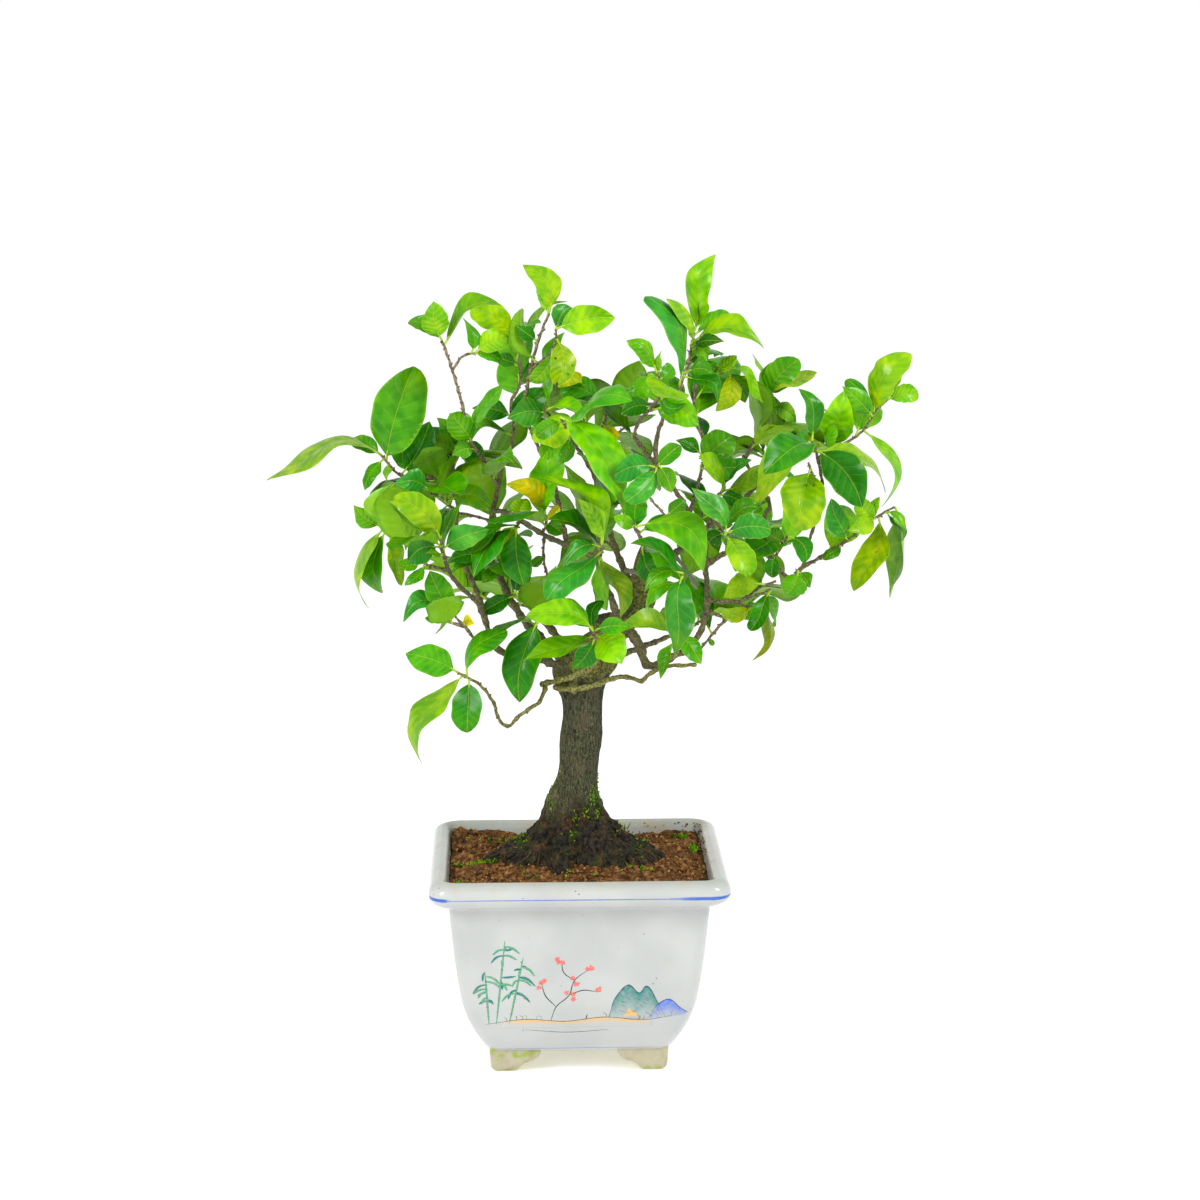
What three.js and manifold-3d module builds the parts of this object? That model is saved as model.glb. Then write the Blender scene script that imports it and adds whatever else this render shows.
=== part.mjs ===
// Persimmon bonsai in a glazed porcelain pot, in millimetres, +Z up.
// The pot stands on four bracket feet and holds a bed of soil over a drain mesh. The trunk
// stands in a hole in the soil and carries the limbs, and each limb carries leafy sprays.
// The origin is under the middle of the whole plant's box, on the surface it stands on.

import * as THREE from "three";
import Module from "manifold-3d";

const wasm = await Module();
wasm.setup();

// Driving dimensions of the pot
const RIM_LENGTH = 165;
const RIM_DEPTH = 135;
const RIM_CORNER = 11;
const INNER_CORNER = 6;
const RIM_TOP = 119;
const BODY_FLOOR = 12.5;
const INNER_FLOOR = 19;
const FOOT_SPAN = 98.5;
const FOOT_INSET = 15;
const FOOT_SLIMNESS = 0.85;
const DRAIN_RADIUS = 8;
const DRAIN_SIDES = 24;
const MESH_SIDE = 24;
const MESH_THICKNESS = 1.2;
const MESH_HOLE = 5.6;
const MESH_BAR = 1.4;

// Driving dimensions of the plant
const TOUCH_GAP = 0.3;
const SLIVER = 0.02;
const SOIL_EDGE = 111.5;
const SOIL_CROWN = 117;
const SOIL_HALF_LENGTH = 71.3;
const SOIL_HALF_DEPTH = 56.3;
const SOIL_CORNER = 5;
const LEAF_KEEL = 0.9;
const LEAF_SPACING = 1.6;
const SHORT_LEAF = 33;
const LEAF_SLENDERNESS = 0.42;
const LEAF_FOLD = 0.13;
const LEAF_ARCH = 0.09;
const TRUNK_SIDES = 18;
const LIMB_SIDES = 5;
const ROOT_SIDES = 5;
const TWIG_SIDES = 4;
const CORNER_STEPS = 4;
const LEAF_SLIDES = [0, -7, 7, -14, 14, -21, 21, -28, 28];
const SPARE_LENGTH = [32, 50];
const SPARE_WIDTH = [0.46, 0.56];
const SPARE_TRIES = 8;
const GOLDEN_TURN = 2.39996;
const RANDOM_START = 20261;

// Places on the tree are given as they are seen from EYE: how far across and how far up they
// appear on the upright plane through the trunk, and how far behind that plane they lie.
const EYE = new THREE.Vector3(-37, -1499, 568);
const UP = new THREE.Vector3(0, 0, 1);

// The pot's outer side from the foot upwards: half length at each height
const POT_SIDE = [
  [48.4, BODY_FLOOR], [51, 14], [54, 18.4], [57.8, 25], [61.6, 33.5], [64.7, 43.5], [67, 57],
  [68.9, 72], [70.4, 87], [71.3, 97], [71.7, 103], [74.8, 103.3], [77.8, 104.6], [80.9, 107],
  [RIM_LENGTH / 2, 110.7], [81.8, 114.6], [79.6, 117.8], [76.2, RIM_TOP],
];

// The pot's inner side from the rim downwards
const POT_INSIDE = [
  [73, 117.4], [71.8, 110], [66.6, 97], [63.4, 73.5], [60.4, 49.5], [56.4, 34], [51, 24],
  [46, INNER_FLOOR],
];

// One bracket foot seen from the front: distance in from the foot's outer face, and height
const FOOT_PROFILE = [
  [-1.8, 19], [-1, 6], [0, 0], [14.5, 0], [15.6, 2.6], [18.8, 5.2], [23.6, 6.6], [27, 9.4], [28.6, 13],
  [28.6, 19],
];

// The soil's surface from its edge to its middle: share of the edge's size, and share of the rise
const SOIL_MOUND = [[1, 0], [0.78, 0.3], [0.55, 0.62], [0.32, 0.88]];

// The trunk from the root base upwards: height, left and right edge, half depth, distance
// behind the upright plane, and how deep its folds are
const TRUNK = [
  [84, -16, 16, 14, 0, 0.02], [104, -26, 26, 22, 0, 0.15], [117, -33, 31, 27, 0, 0.3],
  [124, -28, 26, 22, 0, 0.28], [131, -23, 20, 18, 0, 0.22], [140, -19, 14.5, 14.5, 0, 0.12],
  [152, -15.5, 11.5, 12, 0, 0.07], [164, -10.6, 11, 11, 0, 0.05], [182, -9.8, 13, 11, 0, 0.07],
  [206, -8.5, 13.8, 11, 0, 0.05], [216, -12.5, 15.5, 12, 1, 0.08], [225, -13, 21, 12, 2, 0.1],
  [233, -7, 22.5, 11.5, 4, 0.08], [243, 8, 30, 10, 7, 0.06], [254, 24, 41, 8.5, 10, 0.06],
  [270, 29, 45, 7.5, 13, 0.06], [284, 33, 45.5, 6, 14, 0.05], [294, 37, 43.5, 3.2, 14, 0.02],
];

// Surface roots: compass turn in degrees from the right, counted towards the back, and reach
const ROOTS = [
  [2, 50], [38, 39], [78, 33], [112, 36], [150, 44], [182, 52], [213, 43], [245, 31], [283, 30],
  [323, 45],
];
const ROOT_SIZE = [5.5, 1.8];
const ROOT_SPREAD = 0.8;

// How a surface root runs down: share of its reach, farther out by, and height
const ROOT_SLOPE = [[0, 12, 137], [0.5, 0, 125.5], [0.8, 0, 118.5], [1, 3, 109]];

// Main limbs, which are one piece with the trunk: radius at both ends, and the route
const LIMBS = {
  low_wrap: { size: [2.3, 1.9], route: [
    [12, 243, 2], [13, 234, -8], [9, 226, -14], [0, 220, -15.5], [-9, 217, -14.5], [-20, 214.5, -6]] },
  low_right: { size: [2.1, 1.4], route: [
    [-13, 213, -7], [0, 211.5, -14], [10, 214, -15.5], [20, 217.5, -13], [30, 218, -12],
    [36, 216, -13], [39, 219, -14], [46, 223, -14], [66, 225, -15]] },
  low_stub: { size: [1.7, 1.5], route: [[44, 222, -14], [47, 226, -15], [55, 231, -17]] },
  right: { size: [2.7, 1.3], route: [
    [30, 243, 4], [35, 235, 0], [39, 225, -6], [45, 225, -10], [52, 229, -10], [60, 233, -8],
    [67, 241, -4], [71, 252, 0], [71, 282, 2], [70, 296, 0], [64, 307, -4], [51, 327, -10],
    [45, 335, -12], [36, 347, -12]] },
  right_top: { size: [1.9, 1.3], route: [[45, 335, -12], [43, 345, -15], [45, 357, -20], [49, 370, -24]] },
  right_low: { size: [1.9, 1.4], route: [
    [71, 281, 2], [80, 287, 4], [90, 292, 2], [98, 294, -2], [104, 290, -6], [108, 284, -10],
    [113, 277, -14], [118, 274, -16], [125, 280, -16]] },
  right_back: { size: [2, 1.3], route: [
    [104, 290, -6], [106, 296, -2], [103, 307, 8], [106, 315, 16], [100, 324, 22], [91, 342, 30]] },
  right_high: { size: [1.4, 1.1], route: [
    [125, 280, -16], [126, 288, -16], [131, 304, -14], [135, 321, -12], [131, 345, -14]] },
  left_low: { size: [3.1, 1.2], route: [
    [2, 220, 0], [-10, 225, -3], [-22, 229, -6], [-34, 230, -9], [-43, 234, -12], [-48, 243, -14],
    [-51, 252, -15], [-54, 259, -16], [-66, 272, -19], [-71, 280, -20], [-74, 291, -22]] },
  left_back: { size: [1.9, 1.3], route: [
    [-50, 250, -15], [-55, 266, -5], [-58, 274, 2], [-64, 289, 14], [-66, 309, 20], [-65, 316, 20],
    [-70, 327, 20], [-67, 345, 24]] },
  left_high: { size: [3.3, 1.3], route: [
    [0, 224, 2], [-12, 233, 8], [-22, 243, 12], [-34, 258, 16], [-44, 279, 19], [-48, 288, 20],
    [-48, 300, 20], [-46, 312, 18], [-42, 331, 14], [-41, 337, 12], [-35, 349, 8]] },
  centre: { size: [2.7, 1.1], route: [
    [31, 257, 10], [22, 254, 2], [20, 260, -4], [16, 270, -8], [12, 280, -10], [11, 287, -10],
    [17, 304, -6], [18, 326, -2], [16, 340, 0], [12, 358, 4]] },
  crown: { size: [1.9, 1.2], route: [
    [11, 286, -10], [3, 289, -6], [-4, 292, 0], [-7, 302, 4], [-14, 332, 6], [-22, 350, 2],
    [-28, 366, -4], [-28, 377, -8]] },
  cross: { size: [1.9, 1.6], route: [[-4, 292, 0], [-20, 300, -5], [-38, 311, 4], [-46, 313, 17]] },
  crown_back: { size: [1.8, 1.2], route: [
    [14, 296, -8], [12, 308, 0], [10, 330, 8], [1, 346, 8], [-7, 356, 4], [-14, 363, 0]] },
  back_left: { size: [3.4, 1.4], route: [
    [4, 222, 5], [-8, 238, 22], [-22, 256, 38], [-34, 276, 50], [-42, 298, 58]] },
  back_middle: { size: [3.1, 1.3], route: [
    [34, 258, 12], [28, 274, 30], [20, 294, 44], [13, 318, 52], [9, 342, 56]] },
  back_right: { size: [2.9, 1.3], route: [
    [38, 274, 13], [52, 286, 28], [70, 300, 42], [88, 315, 52], [104, 330, 58]] },
  back_low: { size: [2.6, 1.3], route: [[16, 228, 6], [30, 233, 26], [48, 240, 42], [66, 248, 54]] },
};

// Leafy sprays. A twig has its radius at both ends and its route from the limb outwards.
// A leaf is: where it leaves the twig (across, up), its tip (across, up), how wide it looks,
// how far it bows to its left, and how much farther back its tip lies than its root.
// spare is how many small leaves fill the spray behind the ones that are placed by hand.
const SPRAYS = [
  { name: "spray_low_left", spare: 0, twigs: [
    { size: [1.6, 1], route: [[-17, 215, -8], [-20, 206, -14], [-33, 196, -20], [-38, 190.5, -22],
      [-43, 194, -24], [-46, 203, -26], [-56, 216, -30], [-66, 221.5, -32]] }],
    leaves: [
      [-66, 222, -95, 232.5, 16, -2, -4], [-64, 219, -86.5, 169, 15, -8, -6],
      [-60, 217, -61.5, 187, 15.5, 0, -10], [-61, 219, -38.5, 245, 10, 5, 4]] },
  { name: "spray_left_fork", spare: 1, twigs: [
    { size: [1.5, 0.9], route: [[-44, 236, -12], [-53, 236, -22], [-62, 247, -30], [-76, 252, -34]] },
    { size: [1, 0.8], route: [[-62, 247, -30], [-70, 257, -32]] }],
    leaves: [
      [-70, 257, -96, 250, 9, -7, -4], [-70, 257, -81, 279, 14, 1, 2],
      [-75, 251, -85, 262, 4, -3, -4], [-64, 249, -57, 249, 6, 2, -4],
      [-73, 251, -84, 253, 5, 0, 6]] },
  { name: "spray_left_dark", spare: 1, twigs: [
    { size: [1.2, 0.8], route: [[-24, 246, 12], [-22, 250, -8], [-21, 251, -26]] }],
    leaves: [[-21, 250, -32, 204, 19, -3, -6], [-22, 250, -4, 262, 8, 1, -4]] },
  { name: "spray_left_bend", spare: 2, twigs: [
    { size: [1.2, 0.8], route: [[-37, 263, 17], [-35, 265, 2], [-33, 265, -8]] }],
    leaves: [[-34, 265, -54, 255, 9, 0, -4], [-33, 265, -27, 282, 7, 2, -4]] },
  { name: "spray_left_limb", spare: 2, twigs: [
    { size: [1.2, 0.8], route: [[-44, 281, 19], [-48, 285, 8], [-50, 287, -2]] }],
    leaves: [
      [-50, 287, -72, 283, 8, -2, -2], [-49, 286, -70, 276, 7, -1, -6],
      [-48, 285, -60, 294, 5, 1, -3], [-47, 284, -52, 272, 8, 2, -10]] },
  { name: "spray_left_middle", spare: 2, twigs: [
    { size: [1.4, 0.9], route: [[-72, 284, -20], [-74, 291, -28], [-75, 297, -34]] }],
    leaves: [
      [-75, 297, -100, 321, 15, -4, -6], [-75, 296, -103, 318, 9, 2, -14],
      [-74, 292, -93, 284, 15, -4, 4], [-75, 297, -71, 316, 7, 1, 2],
      [-74, 291, -48, 302, 13, 2, -10], [-74, 289, -83, 289, 5, 1, -4]] },
  { name: "spray_left_hanging", spare: 1, twigs: [
    { size: [1.3, 0.9], route: [[-70, 279, -19], [-84, 283.5, -10], [-90, 291, -5], [-107, 304, 0]] }],
    leaves: [
      [-107, 304, -122, 316, 10, 2, -4], [-107, 304, -115, 258, 7, -6, -10],
      [-106, 303, -107.5, 266.5, 12, -3, 2], [-104, 302, -96, 271, 10, -2, 8],
      [-107, 304, -99, 328, 14, 9, -8], [-86, 286, -99, 283, 7, 2, -6],
      [-84, 284, -95, 271, 6, 3, -6]] },
  { name: "spray_left_upper", spare: 2, twigs: [
    { size: [1.5, 0.9], route: [[-70, 326, 20], [-80, 331, 18], [-97, 333, 12], [-107, 344, 10]] }],
    leaves: [
      [-107, 344, -169.5, 330, 11, -10, -8], [-106, 344, -125, 352, 9, -1, 6],
      [-104, 341, -88, 392, 27, 2, -6], [-106, 343, -116, 324, 7, -1, -4],
      [-105, 342, -104, 329, 5, 0, -8], [-95, 333, -80, 362, 15, -2, 8],
      [-88, 332, -96, 352, 10, 2, 10]] },
  { name: "spray_left_inner", spare: 2, twigs: [
    { size: [1.2, 0.8], route: [[-66, 312, 20], [-76, 321, 6], [-80, 322, -2]] }],
    leaves: [
      [-79, 322, -101, 327, 13, -5, -8], [-71, 318, -47, 314, 12, 6, -6],
      [-70, 318, -44, 341, 6, 6, -10]] },
  { name: "spray_left_shade", spare: 2, twigs: [
    { size: [1.2, 0.8], route: [[-68, 334, 22], [-66, 342, 28], [-63, 346, 32]] }],
    leaves: [
      [-64, 345, -50, 341, 12, 2, -6], [-65, 344, -84, 352, 12, -2, -4],
      [-64, 346, -76, 364, 12, -2, 2], [-66, 342, -82, 333, 10, 0, 8]] },
  { name: "spray_top_left", spare: 1, twigs: [
    { size: [1.5, 0.9], route: [[-43, 326, 15], [-52, 342, 4], [-57, 349, -2], [-62, 370, -12],
      [-68, 392, -18], [-73, 406, -20]] },
    { size: [1, 0.8], route: [[-67, 390, -17], [-62, 397, -19], [-55, 399, -20]] }],
    leaves: [
      [-73, 406, -77, 427, 14, 2, -4], [-73, 406, -91, 416, 6, -4, 2],
      [-73, 406, -41, 425, 8, 8, -4], [-57, 398, -61, 418, 7, -3, -4],
      [-55, 399, -37, 407, 12, 2, -4], [-56, 399, -40, 393.5, 7, 2, 4],
      [-57, 350, -69, 366, 14, -1, -6], [-55, 346, -68, 343, 10, -2, -6],
      [-58, 356, -40, 382, 7, -2, -6]] },
  { name: "spray_top_inner", spare: 2, twigs: [
    { size: [1.3, 0.9], route: [[-36, 347, 9], [-34, 361, 12], [-36, 371, 14], [-31, 381, 15],
      [-33.5, 406, 16]] }],
    leaves: [
      [-33.5, 406, -57, 424, 15, -3, -4], [-33, 404, -49, 406, 9, -2, 4],
      [-35, 364, -57, 369, 11, -2, -4], [-34, 358, -17, 379, 15, 2, -14],
      [-33.5, 354, -58, 350, 5, -5, -8], [-31, 392, -44, 396, 8, -1, 6]] },
  { name: "spray_top_middle", spare: 1, twigs: [
    { size: [1.4, 0.9], route: [[-28, 374, -7], [-23, 398, -18], [-20, 408, -22], [-15, 420, -26]] },
    { size: [1.1, 0.8], route: [[-25.5, 390, -14], [-12, 402, -26], [-11, 412, -30]] }],
    leaves: [
      [-15, 420, -29, 446.5, 13, -7, -6], [-15, 420, -21, 437, 8, -2, 4],
      [-11, 411.5, 21, 418, 15, 2, -4], [-11, 412, -3, 424, 11, 2, 6],
      [-11.5, 408, -11, 381, 13, 4, -8], [-13, 401, -25, 383, 9, 3, 2],
      [-21, 405, -33, 414, 8, 0, -6]] },
  { name: "spray_crown_left", spare: 2, twigs: [
    { size: [1.2, 0.8], route: [[-9, 358, 3], [-14, 364, -8], [-18, 369, -18]] }],
    leaves: [
      [-15, 365, -38, 363, 15, -3, -6], [-17, 368, 6, 361, 7, 4, -10],
      [-13, 363, -26, 355, 8, 0, -14]] },
  { name: "spray_crown_front", spare: 1, twigs: [
    { size: [1.2, 0.8], route: [[0, 348, 7], [-4, 354, -18], [-9, 364, -58]] }],
    leaves: [
      [-9, 364, 27, 308, 19, 3, -28], [-5, 356, -19, 341, 10, -1, -10],
      [-4, 354, -10, 338, 8, 2, -4], [-8, 361, -22, 353, 9, -1, -4]] },
  { name: "spray_crown_middle", spare: 2, twigs: [
    { size: [1.2, 0.9], route: [[12.5, 353, 3], [15.5, 369, 8], [11, 373, 10], [4, 381.5, 12]] }],
    leaves: [
      [14, 370, -9, 380, 14, -4, 6], [5, 380, -10, 380, 6, -2, -8],
      [5, 381, -4, 388, 5, -1, -4], [13, 357, 17, 345, 6, 0, -12],
      [13.5, 360, 23, 351, 5, 0, -10], [14, 363, 27, 378, 5, 1, 6],
      [15, 367, 21, 377, 7, -1, 10]] },
  { name: "spray_crown_right", spare: 2, twigs: [
    { size: [1.3, 0.9], route: [[48.5, 368, -23], [46, 376, -28], [44, 388, -34]] },
    { size: [1.4, 1.1], route: [[37, 346, -12], [32, 352, -16], [46, 376, -28]] }],
    leaves: [
      [44, 388, 27, 405.5, 9, -3, -4], [44.5, 388, 46, 400, 4, 0, 0],
      [44, 387, 38, 384, 6, 0, -4], [44, 375, 27, 377, 11, -4, 8],
      [40, 369, 24, 365, 10, -3, -4], [44.5, 384, 52, 392, 8, -1, 6],
      [47, 377, 60, 371, 7, -6, -6], [42, 367, 67, 359, 15, 5, -16]] },
  { name: "spray_top_right", spare: 2, twigs: [
    { size: [1.3, 0.9], route: [[48.5, 367, -23], [54, 375, -14], [61, 395, 0], [64, 411, 8]] }],
    leaves: [
      [64, 411, 75, 452, 13.5, 1, -4], [63, 403, 49, 428, 5, -4, 2],
      [64, 410, 62.5, 434, 5, -3, 6], [63.5, 404, 102, 401, 11, 7, -6],
      [63, 402, 80, 405, 7, 1, -14], [64, 410, 87, 415.5, 7, 3, 6],
      [63, 402, 71, 393, 8, 4, -4], [58, 386, 77, 371, 8, 5, -8],
      [58.5, 387, 76, 385, 13, 4, 4], [56, 382, 37, 429.5, 10, -6, 2]] },
  { name: "spray_top_far_right", spare: 2, twigs: [
    { size: [1.4, 0.9], route: [[62, 310, -5], [66, 325, 2], [70, 349, 12], [64.5, 364, 14],
      [66, 383, 18], [82, 389, 20]] }],
    leaves: [
      [82, 389, 76, 366.5, 11, 5, -8], [82, 389, 92, 371, 9, 3, 2],
      [82, 389, 102, 371, 6, 4, -6], [81, 389, 71, 391, 4, -1, 0],
      [82, 389, 87, 397, 6, 0, 0], [69, 336, 86, 353, 17, 2, 8],
      [69, 335, 88, 336, 14, 0, 0], [70, 342, 54, 351, 8, -2, 6]] },
  { name: "spray_upper_right", spare: 2, twigs: [
    { size: [1.6, 0.9], route: [[92, 340, 29], [98, 352, 30], [104.5, 361, 30], [102.5, 376, 32]] }],
    leaves: [
      [103, 374, 121, 395, 15, 2, -4], [103, 372, 131, 388, 9, 2, 2],
      [102.5, 376, 96, 398, 4, -1, -2], [103, 367, 120, 360.5, 9, 4, -6],
      [102.5, 375, 108, 394, 10, 1, 8]] },
  { name: "spray_right_top", spare: 1, twigs: [
    { size: [1.2, 0.8], route: [[132, 340, -13], [140, 345, -6], [157, 356, -2], [164, 367, -4],
      [170, 373, -6]] }],
    leaves: [
      [161, 366, 182, 398, 15, 5, -4], [160.5, 365, 145, 380, 12, -1, -8],
      [160, 364, 147, 384, 8, -1, 4], [170, 373, 171.5, 396, 9, -2, -8],
      [170, 373, 187, 375, 10, 2, 2], [141, 345.5, 146, 378, 17, 1, -14],
      [139, 344, 141, 359, 6, 1, -4], [139.5, 344.5, 135, 368, 4, -2, 4],
      [157, 356, 168, 313, 7, 9, -8]] },
  { name: "spray_right_cluster", spare: 1, twigs: [
    { size: [1.2, 0.8], route: [[133, 338, -13], [130.5, 346, -26], [129, 350, -36]] }],
    leaves: [
      [129, 350, 121, 379, 10, -3, 2], [129, 350, 104.5, 341, 13, -3, 4],
      [130, 348, 96, 311, 15, -3, -26], [131, 345, 157, 313, 20, 5, -10],
      [131, 344, 170, 321, 8, 6, 10]] },
  { name: "spray_right_round", spare: 1, twigs: [
    { size: [1, 0.8], route: [[135, 320, -12], [130, 330, -30], [127, 338, -44]] }],
    leaves: [[128, 335, 122, 300, 23, -1, -14], [131, 328, 133, 318, 6, 1, 2]] },
  { name: "spray_right_end", spare: 1, twigs: [
    { size: [1.4, 0.8], route: [[124, 279, -16], [148, 294, -20], [167, 309, -22], [175, 313, -22]] }],
    leaves: [
      [166, 308, 153, 266, 14, 7, -6], [171, 311, 178, 292, 4, 3, -4],
      [175, 313, 173, 262, 8, 10, -2], [170, 310.5, 182, 300, 5, 2, -10],
      [163, 306, 154, 319, 10, 1, -8], [164, 306.5, 149, 300, 10, 1, -8],
      [149, 295, 140, 318, 11, 2, -10], [146, 293, 136, 284, 6, 1, -6],
      [164, 306.5, 166.5, 319, 5, 1, 2]] },
  { name: "spray_right_low", spare: 2, twigs: [
    { size: [1.2, 0.8], route: [[108, 284, -10], [112, 290, -22], [116, 297, -32]] }],
    leaves: [
      [114, 294, 105, 299, 10, 0, -4], [116, 297, 127, 283, 10, 4, -4],
      [110, 287, 108, 274, 8, -1, -6], [112, 290, 120, 300, 7, 1, 6]] },
  { name: "spray_right_drop", spare: 2, twigs: [
    { size: [1, 0.8], route: [[119, 274.5, -16], [121, 276, -24], [122, 278, -32]] }],
    leaves: [[122, 278, 115, 264, 13, 2, -4], [122, 278, 129, 268, 9, 1, -2]] },
  { name: "spray_right_middle", spare: 1, twigs: [
    { size: [1.4, 1], route: [[69, 297, -1], [74, 307, -22], [82, 298, -58]] }],
    leaves: [
      [82, 298, 63, 324.5, 11, -2, -4], [82, 298, 107, 301, 13, 3, -4],
      [82, 298, 96, 275, 13, 1, -10], [82, 298, 73, 294, 9, -1, 8],
      [79, 304, 102, 313, 9, 2, 4], [82, 298, 88, 277, 7, 1, 8]] },
  { name: "spray_low_right", spare: 1, twigs: [
    { size: [1.5, 0.9], route: [[71, 262, 2], [77, 261, -4], [90, 261, -16], [102, 269, -24],
      [110, 272, -28]] },
    { size: [1, 0.8], route: [[90, 261, -16], [107, 267, -28]] },
    { size: [0.9, 0.8], route: [[84, 261, -10], [98, 257, -18]] }],
    leaves: [
      [104, 270, 81, 263, 12, -4, 8], [97, 257, 80, 253, 8, 2, -6],
      [107, 266, 96, 244, 9, 2, -8], [107, 267, 97, 227, 6, 9, -4],
      [105, 266, 107, 246, 4, 1, -8], [92, 258, 102, 252, 8, 1, -4]] },
  { name: "spray_low_knot", spare: 1, twigs: [
    { size: [1.6, 1.3], route: [[71, 256, 1], [78, 253, -3], [88, 251, -8]] },
    { size: [1.2, 0.9], route: [[84, 252, -6], [73, 240, -5], [68, 232, -6], [67, 229, -6]] }],
    leaves: [[87, 251, 99, 255, 8, 1, 4], [73, 240, 76, 236, 3, 0, -2]] },
  { name: "spray_right_inner", spare: 2, twigs: [
    { size: [1.3, 0.9], route: [[67, 302, -2], [72, 316, 8], [81, 323, 4]] }],
    leaves: [
      [80, 322, 67, 342, 7, -3, -6], [81, 323, 107, 338, 10, -3, -12],
      [81, 323, 96, 340, 7, 2, 4], [81, 323, 93, 314, 9, 2, -4],
      [77, 321, 63, 315, 9, 0, 6]] },
  { name: "spray_centre", spare: 1, twigs: [
    { size: [1.5, 1], route: [[12, 283, -10], [13, 287, -30], [14, 293, -50]] }],
    leaves: [
      [13.5, 292, -8, 280, 9, -4, -4], [13, 290, -17, 262, 14, 1, -12],
      [13, 293, 0, 319, 10, -2, -6], [14, 293, -21, 331, 9, -8, -2],
      [14, 293, 13, 330, 8, 2, 6], [13, 287, 24, 252, 11, 6, -18]] },
  { name: "spray_cross_up", spare: 2, twigs: [
    { size: [1, 0.8], route: [[-19, 299.5, -5], [-17, 304, -12], [-17, 309, -18]] }],
    leaves: [
      [-17, 309, -39, 327, 11, -6, -4], [-17, 305, -8, 299, 8, 1, -6],
      [-17, 307, -10, 315, 5, -1, -4]] },
  { name: "spray_cross_down", spare: 1, twigs: [
    { size: [1.1, 0.8], route: [[-18, 299, -5], [-18, 283, -11], [-15, 272, -13]] }],
    leaves: [[-18, 287, -25, 281, 5, 0, 4]] },
  { name: "spray_cross_front", spare: 2, twigs: [
    { size: [1, 0.8], route: [[-31, 306.5, -1], [-32, 305, -14], [-33, 303, -24]] }],
    leaves: [
      [-31, 306, -27, 319, 11, 2, 4], [-32, 305, -42, 294, 10, 1, 6],
      [-33, 303, -29, 270, 16, -2, -6]] },
  { name: "spray_centre_low", spare: 0, twigs: [
    { size: [1.6, 1.1], route: [[12, 238, -2], [10, 241, -28], [9, 245, -56]] }],
    leaves: [
      [9, 245, -28, 254, 13, -3, -4], [9, 245, -9, 262, 10, 0, 6],
      [9.5, 243, -30, 228, 11, 4, -8], [10, 241, -3, 223, 12, 2, 2],
      [9.5, 243, 25, 226, 18, 2, -16], [9, 245, 31, 246, 9, 2, -4]] },
  { name: "spray_centre_right", spare: 1, twigs: [
    { size: [1.6, 1.1], route: [[38, 285, 13], [36, 294, -14], [32, 303, -52]] }],
    leaves: [
      [32, 303, 70, 277, 17, 13, -10], [32.5, 302, 20, 309, 7, 0, -2],
      [36, 293, 50, 272, 13, -5, 2], [33, 301, 35, 323, 13, 2, 4],
      [33.5, 299, 60, 304, 9, 3, 8]] },
  { name: "spray_front_top", spare: 1, twigs: [
    { size: [1.4, 1], route: [[18, 313, -4], [26, 319, -30], [45, 337, -78]] },
    { size: [1, 0.8], route: [[33, 326, -47], [49, 309, -40]] }],
    leaves: [
      [44, 336, 20, 331, 13, -3, -8], [44, 336, 27, 317, 12, 2, -16],
      [45, 337, 52, 322, 9, 1, -6], [45, 337, 57, 348, 9, 1, 8],
      [49, 309, 60, 318, 8, 0, 4]] },
  { name: "spray_low_middle", spare: 1, twigs: [
    { size: [1.4, 1], route: [[55, 231, -9], [57, 245, -34], [58.5, 277, -66]] }],
    leaves: [
      [58, 276, 54, 231, 15, 2, -18], [58, 276, 37, 266, 8, -4, -4],
      [57, 272, 38, 254, 7, -4, 6], [57, 243, 69, 225.5, 10, 1, -12],
      [56, 240, 46, 217, 6, 1, -8], [56, 240, 22, 246, 10, -4, -6]] },
  { name: "spray_back_left", spare: 9, twigs: [
    { size: [1.3, 0.8], route: [[-42, 296, 57], [-46, 314, 64], [-48, 334, 70]] },
    { size: [1.2, 0.8], route: [[-44, 306, 61], [-58, 310, 54], [-76, 312, 54]] }],
    leaves: [] },
  { name: "spray_back_left_low", spare: 7, twigs: [
    { size: [1.2, 0.8], route: [[-24, 258, 40], [-42, 262, 58], [-58, 264, 74]] }],
    leaves: [] },
  { name: "spray_back_middle", spare: 9, twigs: [
    { size: [1.2, 0.8], route: [[9, 340, 56], [5, 356, 54], [2, 376, 52]] },
    { size: [1.2, 0.8], route: [[7, 350, 55], [20, 354, 66], [30, 360, 76]] }],
    leaves: [] },
  { name: "spray_back_middle_low", spare: 7, twigs: [
    { size: [1.2, 0.8], route: [[20, 292, 43], [10, 298, 62], [0, 304, 80]] }],
    leaves: [] },
  { name: "spray_back_right", spare: 9, twigs: [
    { size: [1.3, 0.8], route: [[102, 329, 57], [114, 338, 56], [126, 346, 54]] },
    { size: [1.2, 0.8], route: [[108, 334, 56], [102, 344, 70], [94, 352, 82]] }],
    leaves: [] },
  { name: "spray_back_right_low", spare: 8, twigs: [
    { size: [1.2, 0.8], route: [[68, 298, 41], [82, 296, 58], [96, 292, 74]] }],
    leaves: [] },
  { name: "spray_back_low", spare: 7, twigs: [
    { size: [1.2, 0.8], route: [[64, 247, 53], [76, 254, 62], [88, 262, 68]] }],
    leaves: [] },
];

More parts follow.
